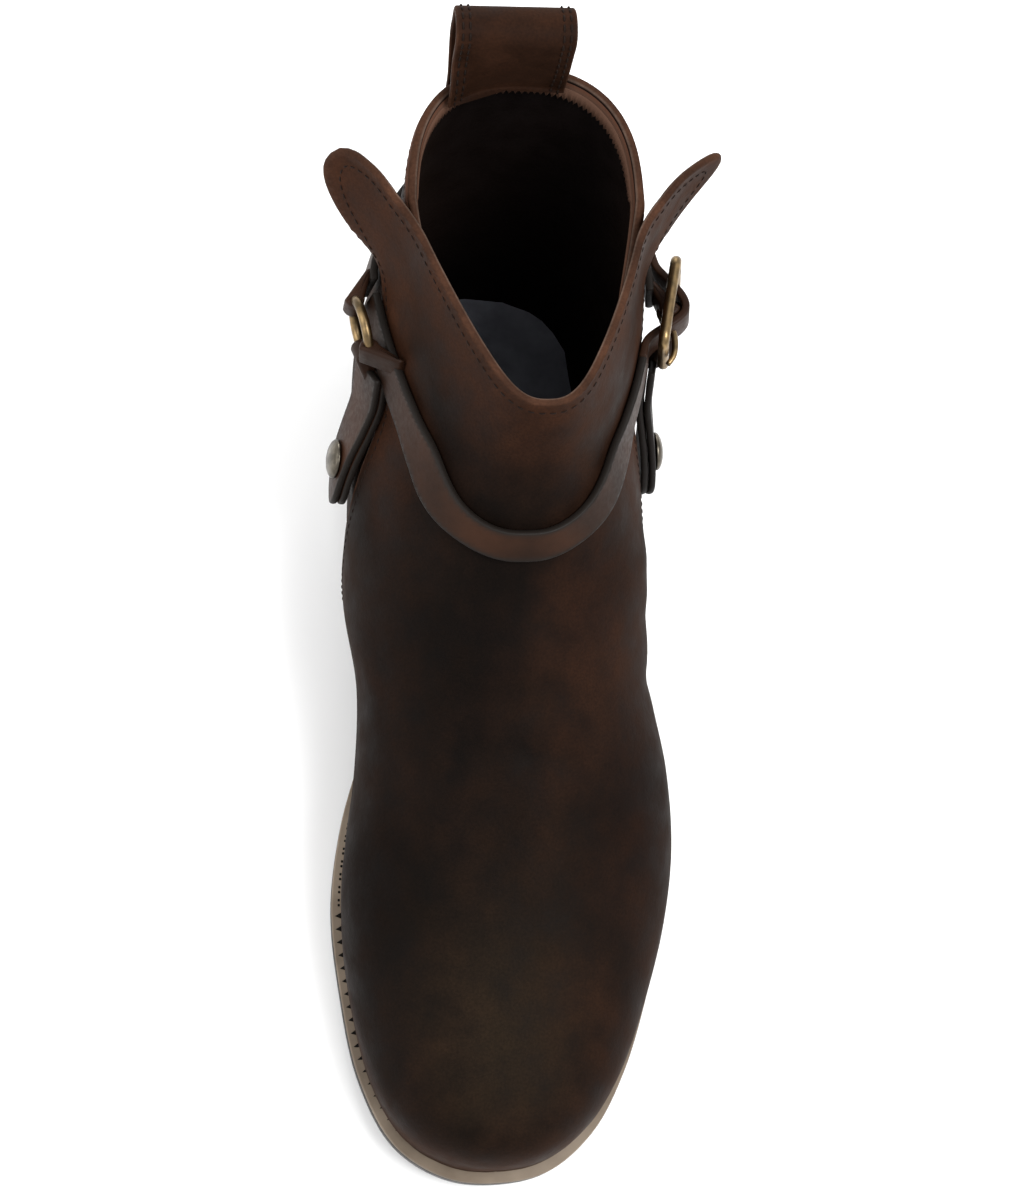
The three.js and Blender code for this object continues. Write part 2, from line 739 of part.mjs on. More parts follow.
// A frame at the ring's wire, leading away from the ring in a side view direction
function ringWireFrame([forward, upward]) {
  const angle = Math.atan2(upward, -forward);
  const frame = ringFrame.clone().multiply(new THREE.Matrix4().makeRotationZ(angle));
  return frame.multiply(new THREE.Matrix4().makeTranslation(ringRadius, 0, 0));
}

// Buckle on the outer side
const buckleRise = layerOutside + clearance + buckleWire + buckleStandoff;
const buckleFrameAt = sideFrame(1, buckleAt, buckleRise)
  .multiply(new THREE.Matrix4().makeRotationY(THREE.MathUtils.degToRad(buckleTilt)));
const halfLong = buckleLength / 2;
const halfWide = buckleWidth / 2;
const jointSwell = 1.03;

// Round bars between places in the buckle's frame, with a ball on each of the named joints
function barWork(runs, joints, radius) {
  const bars = runs.map(([from, to]) => rod(from, to, radius));
  const balls = joints.map((place) => {
    const ball = new THREE.SphereGeometry(radius * jointSwell, rodSides, 5);
    ball.translate(...place.toArray());
    return solidFrom(ball);
  });
  return [...bars, ...balls].reduce((sum, piece) => sum.add(piece));
}

function buckleSolid(radius) {
  const corner = (x, y) => new THREE.Vector3(x, y, 0);
  const corners = [
    corner(halfLong, halfWide),
    corner(-halfLong, halfWide),
    corner(-halfLong, -halfWide),
    corner(halfLong, -halfWide),
  ];
  const runs = corners.map((from, i) => [from, corners[(i + 1) % corners.length]]);
  runs.push([corner(0, halfWide), corner(0, -halfWide)]);
  return barWork(runs, corners, radius).transform(buckleFrameAt.toArray());
}
addPiece("buckle", buckleSolid(buckleWire), brass);

// How high the layers of a strip lie over a fold's own frame where its doubled end stops
function foldTail(side, frame, reach, low, high) {
  const tip = new THREE.Vector3(reach, 0, 0).applyMatrix4(frame);
  const { point, normal } = onSurface(side, tip.y, tip.z);
  const inverse = frame.clone().invert();
  const level = (offset) => point.clone().addScaledVector(normal, offset).applyMatrix4(inverse).z;
  return { low: level(low), high: level(high) };
}
const tailSink = 0.7;
const ringFoldOuter = ringWire + clearance + foldLeather;
const barFoldOuter = buckleWire + clearance + foldLeather;

// Bends of the prong's arm: along as a share of half the buckle's length, rise as a share of
// the height of the loop over the middle bar
const prongBends = table(
  ["along", "rise"],
  [
    [0.22, 0.13],
    [0.62, 0.9],
    [1, 1.035],
    [1.236, 0.6],
  ],
);

// Prong: a loop round the middle bar and an arm through the strap onto the front bar
function prongSolid(extra) {
  const over = buckleWire + clearance + prongRadius;
  const loop = new THREE.TorusGeometry(over, prongLoopRadius + extra, 6, 12);
  loop.rotateX(Math.PI / 2);
  const bends = prongBends.map((row) => new THREE.Vector3(row.along * halfLong, 0, row.rise * over));
  const runs = bends.slice(1).map((to, i) => [bends[i], to]);
  const arm = barWork(runs, bends.slice(1), prongRadius + extra);
  return arm.add(solidFrom(loop)).transform(buckleFrameAt.toArray());
}
addPiece("buckle_prong", prongSolid(0), brass);
const prongRoom = prongSolid(clearance);
const buckleRoom = buckleSolid(buckleWire + clearance);

const strapFront = placeAlong(0.49);

// Heel strap: round the back, folded on the ring inside and on the middle bar outside
const behindHeel = heelBack + margin;
const heelStrapOutside = (point) => heelStrapInside(point) + strapThickness;
const heelStrapInner = strip(
  strapShape(ringAt.x + ringRadius + stripStart, behindHeel),
  heelStrapInside,
  heelStrapOutside,
  -wideEnough,
  seamOverlap,
);
const heelStrapOuter = strip(
  strapShape(buckleAt.x + stripStart, behindHeel),
  heelStrapInside,
  heelStrapOutside,
  0,
  wideEnough,
);
const ringBack = ringWireFrame(ringRun.heel);
const ringBackFold = fold(ringBack, ringFoldOuter, foldReach, heelFoldWidth,
  foldTail(-1, ringBack, foldReach, layerInside + tailSink, layerOutside - tailSink));
const barFrame = buckleFrameAt.clone().multiply(new THREE.Matrix4().makeRotationZ(Math.PI));
const barFold = fold(barFrame, barFoldOuter, foldReach, barFoldWidth,
  foldTail(1, barFrame, foldReach, layerInside + tailSink, layerOutside - tailSink));
const heelStrap = heelStrapInner.add(heelStrapOuter)
  .add(ringBackFold.subtract(ringRoom))
  .add(barFold.subtract(buckleRoom))
  .subtract(prongRoom);
addPiece("heel_strap", heelStrap, strapLeather);

// Front strap: from the ring over the instep, under the buckle's end bars and over its middle
const archHalf = halfLong + archRunOut;
const archTop = barFoldOuter + clearance + restGap;
const overHeelStrap = (point) => heelStrapOutside(point) + clearance;
const overFrontStrap = (point) => overHeelStrap(point) + strapThickness;

function strapArch() {
  const half = strapThickness / 2;
  const rest = (x) => (x > 0 ? layerInside : layerOutside + clearance) + half;
  const line = [];
  for (let i = 0; i <= archSteps; i += 1) {
    const x = archHalf * ((2 * i) / archSteps - 1);
    const level = foldTail(1, buckleFrameAt, x, rest(x), 0).low;
    line.push(new THREE.Vector2(x, level + (archTop + half - level) * bump(x, halfLong)));
  }
  const shape = new THREE.Shape(ribbon(line, strapThickness));
  const geometry = new THREE.ExtrudeGeometry(shape, { depth: archWidth, bevelEnabled: false });
  geometry.translate(0, 0, -archWidth / 2);
  geometry.rotateX(Math.PI / 2);
  return placed(geometry, buckleFrameAt);
}
const frontStrapInner = strip(
  strapShape(strapFront, ringAt.x + frontStripPast),
  () => layerInside,
  () => layerOutside,
  -wideEnough,
  middle + seamOverlap,
);
const frontStrapOuter = strip(
  strapShape(strapFront, buckleAt.x - halfLong),
  () => layerInside,
  () => layerOutside,
  middle,
  wideEnough,
);
const strapTail = strip(
  strapShape(buckleAt.x + halfLong + tailStart, buckleAt.x + halfLong + tailLength),
  overHeelStrap,
  overFrontStrap,
  0,
  wideEnough,
);
const ringFront = ringWireFrame(ringRun.front);
const ringFrontFold = fold(ringFront, ringFoldOuter, foldReach, ringFoldWidth,
  foldTail(-1, ringFront, foldReach, layerInside + tailSink, layerOutside - tailSink));
const frontStrap = frontStrapInner.add(frontStrapOuter)
  .add(strapArch())
  .add(strapTail)
  .add(ringFrontFold.subtract(ringRoom))
  .subtract(prongRoom);
addPiece("front_strap", frontStrap, strapLeather);

// Room that the front strap takes under the inner tab's upper end
const frontStrapRoom = strip(
  strapShape(strapFront, ringAt.x + frontStripPast + clearance, clearance),
  () => layerInside - clearance,
  () => layerOutside + clearance,
  -wideEnough,
  middle,
);

// Tabs: doubled strips with a round end, held by a snap stud
const roundEndSteps = 10;
function tabShape(start, run, reach, width) {
  const sideways = new THREE.Vector2(-run.y, run.x).multiplyScalar(width / 2);
  const onward = run.clone().multiplyScalar(width / 2);
  const centre = start.clone().addScaledVector(run, reach - width / 2);
  const points = [start.clone().add(sideways)];
  for (let i = 0; i <= roundEndSteps; i += 1) {
    const angle = (Math.PI * i) / roundEndSteps;
    points.push(centre.clone()
      .addScaledVector(sideways, Math.cos(angle))
      .addScaledVector(onward, Math.sin(angle)));
  }
  points.push(start.clone().sub(sideways));
  return points;
}
const tabRun = new THREE.Vector2(...ringRun.tab).normalize();

// Profile of a snap stud's cap, as shares of its radius and height
const studProfile = table(
  ["out", "up"],
  [
    [0, 0],
    [0.97, 0],
    [1, 0.2],
    [0.93, 0.5],
    [0.68, 0.8],
    [0.35, 0.95],
    [0, 1],
  ],
);

function addTab(name, studName, side, frame, foldWidth, foldOuter, room, finish) {
  const origin = new THREE.Vector3().setFromMatrixPosition(frame);
  const start = new THREE.Vector2(origin.y, origin.z);
  const top = start.clone().addScaledVector(tabRun, stripStart);
  const shape = tabShape(top, tabRun, tabLength - stripStart, tabWidth);
  const [from, to] = side < 0 ? [-wideEnough, 0] : [0, wideEnough];
  const body = strip(shape, () => layerInside, () => tabOutside, from, to);
  const tail = foldTail(side, frame, foldReach, layerInside + tailSink, tabOutside - tailSink);
  const foldedEnd = fold(frame, foldOuter, foldReach, foldWidth, tail);
  const tab = body.add(foldedEnd).subtract(room).subtract(frontStrapRoom);
  addPiece(name, tab, finish);
  const studPlace = start.clone().addScaledVector(tabRun, tabLength - studFromTabEnd);
  const profile = studProfile.map((row) => new THREE.Vector2(row.out * studRadius, row.up * studHeight));
  const cap = new THREE.LatheGeometry(profile, 16);
  cap.rotateX(Math.PI / 2);
  addPiece(studName, placed(cap, sideFrame(side, studPlace, tabOutside + clearance)), nickel);
}
const ringTab = ringWireFrame(ringRun.tab);
addTab("medial_tab", "medial_stud", -1, ringTab, ringFoldWidth, ringFoldOuter, ringRoom, darkLeather);

// The outer tab hangs from the buckle's lower rail
const railFrame = buckleFrameAt.clone()
  .multiply(new THREE.Matrix4().makeTranslation(halfLong / 2, halfWide, 0))
  .multiply(new THREE.Matrix4().makeRotationZ(Math.PI / 2));
const railFoldWidth = halfLong - 2 * buckleWire - railFoldRoom;
addTab("lateral_tab", "lateral_stud", 1, railFrame, railFoldWidth, barFoldOuter, buckleRoom, darkLeather);

// Pull loop: a strip with one leg outside and one inside the back of the collar
const collarTop = heightUp(collarLine[0].up);
const legOut = wall / 2 + loopClearance + loopThickness / 2;
const bulgeOut = loopGap / 2 + loopThickness / 2;
const collarRing = sectionRing(sections.length - 2);

// Middle line of the loop over the collar: how far out as a share of the way from the legs to
// the bulge, and how far up as a share of the loop's height
const loopBulge = table(
  ["bulge", "up"],
  [
    [0, 0.02],
    [0.55, 0.22],
    [0.95, 0.42],
    [1, 0.66],
    [0.75, 0.88],
  ],
);

function loopLine() {
  const side = (sign, foot) => [
    new THREE.Vector2(sign * legOut, foot),
    ...loopBulge.map((row) => new THREE.Vector2(
      sign * (legOut + (bulgeOut - legOut) * row.bulge),
      collarTop + row.up * loopHeight,
    )),
  ];
  const top = new THREE.Vector2(0, collarTop + loopHeight - loopThickness / 2);
  const inside = side(-1, collarTop - loopInsideLeg).reverse();
  const points = [...side(1, collarTop - loopOutsideLeg), top, ...inside];
  return new THREE.SplineCurve(points).getPoints((points.length - 1) * 2);
}

function backLine(z) {
  const rows = sections.filter((row) => row.lowZ > seatHeight);
  const i = Math.min(rows.length - 2, Math.max(0, rows.findIndex((row) => row.lowZ > z) - 1));
  const [a, b] = [rows[i], rows[i + 1]];
  return a.lowY + ((b.lowY - a.lowY) * (z - a.lowZ)) / (b.lowZ - a.lowZ);
}

// How far forward the back of the collar lies beside its middle
function collarBend(x) {
  const back = collarRing.filter((point) => point.y > 0).sort((a, b) => a.x - b.x);
  const i = back.findIndex((point) => point.x > x);
  const [a, b] = [back[i - 1], back[i]];
  return a.y + ((b.y - a.y) * (x - a.x)) / (b.x - a.x) - backLine(collarRing[0].z);
}

function pullLoop() {
  const shape = new THREE.Shape(ribbon(loopLine(), loopThickness));
  const geometry = new THREE.ExtrudeGeometry(shape, { depth: loopWidth, steps: 6, bevelEnabled: false });
  const place = geometry.attributes.position;
  const flat = collarBend(loopCentre + loopWidth / 4);
  for (let i = 0; i < place.count; i += 1) {
    const [out, z] = [place.getX(i), place.getY(i)];
    const x = loopCentre - loopWidth / 2 + place.getZ(i);
    const curved = 1 - smooth((z - collarTop) / loopFlattening);
    const slope = collarBend(x + 0.5) - collarBend(x - 0.5);
    const stretch = 1 + (Math.hypot(1, slope) - 1) * curved;
    const bend = flat + (collarBend(x) - flat) * curved;
    place.setXYZ(i, x, backLine(Math.min(z, collarTop)) + bend + (out - wall / 2) * stretch, z);
  }
  return solidFrom(geometry);
}
addPiece("pull_loop", pullLoop(), suede);

export default group;
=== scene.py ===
# Jodhpur boot, left foot: fine surfaces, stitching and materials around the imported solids
import math

import bmesh
import bpy
import numpy as np
from mathutils import Matrix, Vector


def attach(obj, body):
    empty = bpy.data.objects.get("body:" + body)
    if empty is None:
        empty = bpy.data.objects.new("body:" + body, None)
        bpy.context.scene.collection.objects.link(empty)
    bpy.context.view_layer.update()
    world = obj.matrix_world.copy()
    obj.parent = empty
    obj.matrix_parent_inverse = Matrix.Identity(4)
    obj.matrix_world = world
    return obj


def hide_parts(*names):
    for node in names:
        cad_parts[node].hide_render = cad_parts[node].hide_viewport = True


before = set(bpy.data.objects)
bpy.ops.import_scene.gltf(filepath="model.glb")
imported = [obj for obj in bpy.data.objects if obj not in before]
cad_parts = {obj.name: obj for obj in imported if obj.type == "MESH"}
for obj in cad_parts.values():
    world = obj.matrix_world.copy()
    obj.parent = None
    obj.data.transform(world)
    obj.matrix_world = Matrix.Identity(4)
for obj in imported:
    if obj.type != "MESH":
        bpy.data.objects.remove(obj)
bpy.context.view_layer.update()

# All shapes are worked out in millimetres and become metres when a mesh is made
MM = 0.001

# Driving sizes of the boot, in millimetres
LENGTH = 303.0
BALL_WIDTH = 113.0
INSTEP_HEIGHT = 80.0
SHAFT_HEIGHT = 136.0
HEEL_BACK = 38.0
HEEL_HEIGHT = 27.0
TOP_PIECE = 6.0
HEEL_LIFTS = 3
HEEL_BREAST_RADIUS = 70.0
OUTSOLE = 5.5
TOE_SPRING = 9.0
WELT = 4.0
WELT_REVEAL = 5.0
HEEL_REVEAL = 2.6
WALL = 2.6
VAMP_STEP = 1.6
VAMP_SINK = 1.8
TUCK_UNDER = 6.0
WING_SPREAD_INNER = 19.0
WING_SPREAD_OUTER = 27.5
WING_BELLY_INNER = 0.7
WING_BELLY_OUTER = 0.0
WING_CURL = 2.2
GAP = 0.3
STRAP = 2.4

# Outline of the sole: along from heel to toe as a share of the length, across as a share of
# the ball width, outer side positive
SOLE_OUTLINE = (
    (0.0, 0.01), (0.016, -0.17), (0.062, -0.272), (0.13, -0.302), (0.26, -0.29),
    (0.4, -0.293), (0.52, -0.345), (0.61, -0.418), (0.7, -0.455), (0.79, -0.44),
    (0.888, -0.394), (0.957, -0.305), (0.992, -0.17), (1.0, -0.03), (0.991, 0.115),
    (0.953, 0.252), (0.892, 0.358), (0.81, 0.447), (0.725, 0.515), (0.635, 0.547),
    (0.535, 0.53), (0.42, 0.462), (0.28, 0.372), (0.15, 0.315), (0.066, 0.285), (0.017, 0.185),
)

FOOT_COLUMNS = ("low", "high", "rise", "inner", "outer", "widest", "low_power", "high_power", "top")
FOOT_SECTIONS = (
    (0.9835, 0.9835, 0.15, 0, 0, 0.4, 4, 2.6, -0.035),
    (0.981, 0.981, 0.22, 0, 0, 0.38, 4, 2.5, -0.034),
    (0.973, 0.973, 0.295, 0, 0, 0.36, 4, 2.4, -0.032),
    (0.957, 0.957, 0.355, 0.003, 0.003, 0.35, 4, 2.35, -0.03),
    (0.93, 0.93, 0.41, 0.006, 0.006, 0.34, 4, 2.3, -0.024),
    (0.885, 0.885, 0.47, 0.01, 0.01, 0.34, 4.5, 2.25, -0.014),
    (0.82, 0.82, 0.545, 0.013, 0.012, 0.34, 4.5, 2.15, -0.004),
    (0.745, 0.745, 0.625, 0.013, 0.012, 0.35, 4.5, 2.05, 0.004),
    (0.665, 0.668, 0.725, 0.013, 0.008, 0.36, 4.5, 2, 0.01),
    (0.58, 0.59, 0.845, 0.03, 0, 0.38, 4.2, 1.95, 0.015),
    (0.485, 0.513, 0.945, 0.085, -0.008, 0.4, 4, 1.9, 0.02),
)
LEG_COLUMNS = (
    "low", "low_up", "high", "high_up", "inner", "outer", "widest",
    "low_power", "high_power", "back", "top", "nose",
)
LEG_SECTIONS = (
    (0.385, -0.1, 0.449, 0.482, 0.395, 0.438, 0.42, 4, 1.85, 0.02, 0.026, 0),
    (0.28, -0.06, 0.413, 0.56, 0.393, 0.424, 0.43, 4, 1.78, 0.01, 0.03, 0.005),
    (0.185, -0.05, 0.392, 0.628, 0.38, 0.416, 0.45, 3.8, 1.7, 0.005, 0.034, 0.012),
    (0.103, -0.06, 0.379, 0.685, 0.368, 0.412, 0.46, 3.5, 1.62, 0, 0.038, 0.022),
    (0.043, -0.045, 0.37, 0.735, 0.362, 0.41, 0.46, 2.9, 1.55, 0, 0.042, 0.034),
    (0.016, 0.035, 0.363, 0.78, 0.358, 0.41, 0.45, 2.45, 1.52, 0, 0.046, 0.043),
    (0.006, 0.165, 0.358, 0.828, 0.35, 0.406, 0.43, 2.2, 1.48, 0, 0.05, 0.05),
    (0.008, 0.31, 0.353, 0.876, 0.338, 0.396, 0.41, 2.1, 1.42, 0.004, 0.053, 0.056),
    (0.012, 0.465, 0.349, 0.925, 0.318, 0.378, 0.39, 2.1, 1.35, 0.01, 0.056, 0.06),
    (0.016, 0.64, 0.345, 0.976, 0.295, 0.354, 0.37, 2.2, 1.29, 0.016, 0.058, 0.06),
    (0.015, 0.83, 0.341, 1.035, 0.279, 0.334, 0.36, 2.3, 1.26, 0.02, 0.06, 0.06),
    (0.01, 1.03, 0.338, 1.11, 0.272, 0.325, 0.35, 2.3, 1.25, 0.022, 0.06, 0.06),
    (0.006, 1.19, 0.336, 1.2, 0.272, 0.325, 0.35, 2.3, 1.25, 0.022, 0.06, 0.06),
)

# Side view lines: along the length and up the shaft
COLLAR_LINE = (
    (-0.08, 1.02), (0.02, 1.02), (0.08, 0.99), (0.13, 0.935),
    (0.175, 0.87), (0.24, 0.79), (0.32, 0.73), (0.43, 0.7),
)
VAMP_EDGE = (
    (0.46, -0.35), (0.4, -0.08), (0.35, 0.17), (0.28, 0.39), (0.205, 0.57), (0.143, 0.69),
    (0.095, 0.785), (0.074, 0.865), (0.076, 0.92), (0.1, 0.945), (0.15, 0.94), (0.21, 0.93),
    (0.275, 0.91), (0.33, 0.893), (0.4, 0.885), (0.52, 0.87),
)
# Upper and lower edge of the ankle strap: along, then up at its two edges
STRAP_EDGES = (
    (-0.08, 0.699, 0.611), (0.06, 0.684, 0.596), (0.13, 0.662, 0.574), (0.19, 0.643, 0.555),
    (0.24, 0.628, 0.542), (0.29, 0.613, 0.53), (0.33, 0.607, 0.53), (0.37, 0.592, 0.529),
    (0.41, 0.579, 0.532), (0.45, 0.562, 0.526), (0.5, 0.54, 0.508),
)
WING_RISE = {"start": 0.65, "full": 0.745, "top": 0.93, "hinge": 0.18, "tip": 0.074}


def place_along(share):
    return HEEL_BACK - share * LENGTH


SEAT_HEIGHT = HEEL_HEIGHT + OUTSOLE + WELT
FLAT_FRONT = place_along(0.735)
FLAT_BACK = place_along(0.62)
HEEL_BREAST = place_along(0.238)


def height_up(share):
    return SEAT_HEIGHT + share * SHAFT_HEIGHT


def smooth(value):
    t = np.clip(value, 0, 1)
    return t * t * (3 - 2 * t)


def unit(vectors):
    vectors = np.asarray(vectors, float)
    return vectors / np.maximum(np.linalg.norm(vectors, axis=-1, keepdims=True), 1e-9)


# Heights of the sole's layers
def outsole_under(y):
    spring = np.clip((FLAT_FRONT - y) / (FLAT_FRONT - place_along(1)), 0, None)
    arch = HEEL_HEIGHT * smooth((y - FLAT_BACK) / (HEEL_BREAST - FLAT_BACK))
    return np.where(y < FLAT_FRONT, TOE_SPRING * spring ** 2, arch)


def outsole_top(y):
    return outsole_under(y) + OUTSOLE


def feather_height(y):
    return outsole_top(y) + WELT


def reveal(y):
    share = smooth((y - place_along(0.5)) / (place_along(0.2) - place_along(0.5)))
    return WELT_REVEAL + (HEEL_REVEAL - WELT_REVEAL) * share


def between(first, second, start, end, place):
    """The value at a place on a run from start to end."""
    return (end - place) / (end - start) * first + (place - start) / (end - start) * second


def spline(knots, steps, closed=False):
    """Centripetal curve through the knots."""
    knots = np.asarray(knots, float)
    if closed:
        padded = np.vstack([knots[-1], knots, knots[:2]])
    else:
        padded = np.vstack([2 * knots[0] - knots[1], knots, 2 * knots[-1] - knots[-2]])
    points = []
    for i in range(len(padded) - 3):
        p = padded[i:i + 4]
        gaps = np.maximum(np.linalg.norm(np.diff(p, axis=0), axis=1), 1e-6) ** 0.5
        t = np.concatenate([[0], np.cumsum(gaps)])
        u = np.linspace(t[1], t[2], steps, endpoint=False)[:, None]
        a = [between(p[k], p[k + 1], t[k], t[k + 1], u) for k in range(3)]
        b = [between(a[k], a[k + 1], t[k], t[k + 2], u) for k in range(2)]
        points.append(between(b[0], b[1], t[1], t[2], u))
    if not closed:
        points.append(knots[-1:])
    return np.vstack(points)


def resample(points, spacing):
    """Points an even distance apart along a line; any further columns come along."""
    gaps = np.linalg.norm(np.diff(points[:, :3], axis=0), axis=1)
    run = np.concatenate([[0], np.cumsum(gaps)])
    places = np.linspace(0, run[-1], max(2, int(round(run[-1] / spacing)) + 1))
    return np.column_stack([np.interp(places, run, points[:, k]) for k in range(points.shape[1])])


def side_line(rows, steps=12):
    knots = [(place_along(along), height_up(up)) for along, up in rows]
    return spline(knots, steps)


collar_curve = side_line(COLLAR_LINE)
vamp_curve = side_line(VAMP_EDGE)


def on_curve(curve, y):
    order = np.argsort(curve[:, 0])
    return np.interp(y, curve[order, 0], curve[order, 1])


def line_distance(curve, y, z):
    """Distance from a side view line, positive on the toe side of it."""
    points = np.column_stack([y, z])
    best = np.full(len(points), 1e9)
    sign = np.ones(len(points))
    for a, b in zip(curve[:-1], curve[1:]):
        run = b - a
        share = np.clip(((points - a) @ run) / (run @ run), 0, 1)
        gap = points - a - share[:, None] * run
        distance = np.linalg.norm(gap, axis=1)
        nearer = distance < best - 1e-9
        best = np.where(nearer, distance, best)
        turn = run[0] * gap[:, 1] - run[1] * gap[:, 0]
        sign = np.where(nearer, np.sign(turn), sign)
    return best * sign


# Outline of the sole, as a dense closed line and as its two sides
outline_knots = [(across * BALL_WIDTH, place_along(along)) for along, across in SOLE_OUTLINE]
outline = spline(outline_knots, 12, closed=True)


def inset_line(line, inset):
    ahead = np.roll(line, -1, axis=0)
    behind = np.roll(line, 1, axis=0)
    direction = unit(ahead - behind)
    return line + np.column_stack([-direction[:, 1], direction[:, 0]]) * np.asarray(inset)[..., None]


def sides(line):
    """Functions that give the inner and outer side of a closed outline at y."""
    heel = int(np.argmax(line[:, 1]))
    rolled = np.roll(line, -heel, axis=0)
    toe = int(np.argmin(rolled[:, 1]))
    halves = [rolled[:toe + 1], np.vstack([rolled[toe:], rolled[:1]])]
    found = []
    for half in halves:
        order = np.argsort(half[:, 1])
        found.append((half[order, 1], half[order, 0]))
    return [lambda y, table=table: np.interp(y, table[0], table[1]) for table in found]


feather_line = inset_line(outline, reveal(outline[:, 1]))
feather_inner, feather_outer = sides(feather_line)


# Sections of the upper, one row for each, in millimetres
NAMES = (
    "low_y", "low_z", "high_y", "high_z", "inner", "outer", "widest",
    "low_power", "high_power", "back", "top", "nose",
)


def section_rows():
    rows = []
    toe = feather_line[:, 1].min() + 0.05
    for values in FOOT_SECTIONS:
        row = dict(zip(FOOT_COLUMNS, values))
        low_y, high_y = place_along(row["low"]), place_along(row["high"])
        inner, outer = feather_inner(max(low_y, toe)), feather_outer(max(low_y, toe))
        rows.append((
            low_y, float(feather_height(low_y)) - TUCK_UNDER,
            high_y, float(feather_height(high_y)) + row["rise"] * INSTEP_HEIGHT,
            inner - row["inner"] * BALL_WIDTH, outer + row["outer"] * BALL_WIDTH,
            row["widest"], row["low_power"], row["high_power"],
            (inner + outer) / 2, row["top"] * BALL_WIDTH, 0,
        ))
    for values in LEG_SECTIONS:
        row = dict(zip(LEG_COLUMNS, values))
        rows.append((
            place_along(row["low"]), height_up(row["low_up"]),
            place_along(row["high"]), height_up(row["high_up"]),
            -row["inner"] * BALL_WIDTH, row["outer"] * BALL_WIDTH,
            row["widest"], row["low_power"], row["high_power"],
            row["back"] * BALL_WIDTH, row["top"] * BALL_WIDTH, row["nose"] * BALL_WIDTH,
        ))
    return np.array(rows, float)


SECTIONS = section_rows()
LAST = len(SECTIONS) - 1


def section_at(place):
    """The section table's columns at places between its rows."""
    i = np.minimum(LAST - 1, np.floor(place).astype(int))
    t = (place - i)[:, None]
    a, b, c, d = (SECTIONS[np.clip(i + k, 0, LAST)] for k in (-1, 0, 1, 2))
    bend, twist = 2 * a - 5 * b + 4 * c - d, 3 * b - a - 3 * c + d
    values = 0.5 * (2 * b + (c - a) * t + bend * t ** 2 + twist * t ** 3)
    return {name: values[:, k] for k, name in enumerate(NAMES)}


def half_ring(at, outer, angles):
    """Points of one side of each section, from its low end to its high end."""
    col = {name: values[:, None] for name, values in at.items()}
    cosine, sine = np.cos(angles)[None, :], np.sin(angles)[None, :]
    power = np.where(cosine > 0, col["low_power"], col["high_power"])
    reach = np.abs(cosine) ** (2 / power)
    spread = np.abs(sine) ** (2 / power)
    size = np.hypot(col["high_y"] - col["low_y"], col["high_z"] - col["low_z"])
    upper_share = 1 - np.hypot((1 - col["widest"]) * (1 - reach), col["nose"] / size)
    share = np.where(cosine > 0, col["widest"] * (1 - reach), upper_share)
    offset = col["back"] + (col["top"] - col["back"]) * share
    middle = col["back"] + (col["top"] - col["back"]) * col["widest"]
    side = col["outer"] if outer else col["inner"]
    return np.stack([
        offset + (side - middle) * spread,
        col["low_y"] + (col["high_y"] - col["low_y"]) * share,
        col["low_z"] + (col["high_z"] - col["low_z"]) * share,
    ], axis=-1)


def even_columns(points, count):
    """Each row of points spread evenly along its length."""
    gaps = np.linalg.norm(np.diff(points, axis=1), axis=2)
    run = np.concatenate([np.zeros((len(points), 1)), np.cumsum(gaps, axis=1)], axis=1)
    rows = []
    for line, distance in zip(points, run):
        places = np.linspace(0, distance[-1], count)
        rows.append(np.column_stack([np.interp(places, distance, line[:, k]) for k in range(3)]))
    return np.array(rows)


# Creases: the places are shares of ball width, length and shaft height, the turn is in degrees,
# the extents are shares of the length, and a depth below nought, in millimetres, is a trough
CREASE_COLUMNS = ("across", "along", "up", "steep", "turn", "length", "width", "depth")
CREASES = (
    (0.1, 0.6, 0.28, False, 8, 0.13, 0.02, -0.9),
    (0.05, 0.545, 0.36, False, -6, 0.11, 0.022, -0.8),
    (0.2, 0.655, 0.2, False, 14, 0.09, 0.016, -0.5),
    (-0.38, 0.64, -0.08, True, 25, 0.05, 0.014, -1.0),
    (-0.36, 0.47, 0.18, True, 20, 0.06, 0.03, 1.2),
    (0.46, 0.5, 0.12, True, 62, 0.05, 0.016, -1.1),
    (0.44, 0.45, 0.22, True, 55, 0.06, 0.02, -1.0),
    (0.42, 0.4, 0.32, True, 50, 0.05, 0.018, 0.9),
    (0.03, 0.43, 0.42, False, 0, 0.12, 0.022, -0.9),
    (-0.3, 0.36, 0.34, True, 48, 0.07, 0.02, -0.9),
    (0.36, 0.12, 0.34, True, 10, 0.09, 0.03, -0.8),
    (-0.32, 0.12, 0.36, True, 8, 0.09, 0.03, -0.8),
)


def crease_depth(p):
    """Soft troughs and ridges pressed into the hide, in millimetres."""
    total = np.zeros(p.shape[:-1])
    for row in CREASES:
        crease = dict(zip(CREASE_COLUMNS, row))
        centre = (crease["across"] * BALL_WIDTH, place_along(crease["along"]), height_up(crease["up"]))
        turn = math.radians(crease["turn"])
        if crease["steep"]:
            run = np.array([0.0, -math.cos(turn), math.sin(turn)])
        else:
            run = np.array([math.cos(turn), -math.sin(turn), 0.0])
        gap = p - np.array(centre)
        lengthwise = gap @ run
        sideways = np.linalg.norm(gap - lengthwise[..., None] * run, axis=-1)
        along_fade = (lengthwise / (crease["length"] * LENGTH)) ** 2
        side_fade = (sideways / (crease["width"] * LENGTH)) ** 2
        total += crease["depth"] * np.exp(-along_fade - side_fade)
    return total


GRID_ROWS = 210
HALF_COLUMNS = 96
ANGLE_STEPS = 801


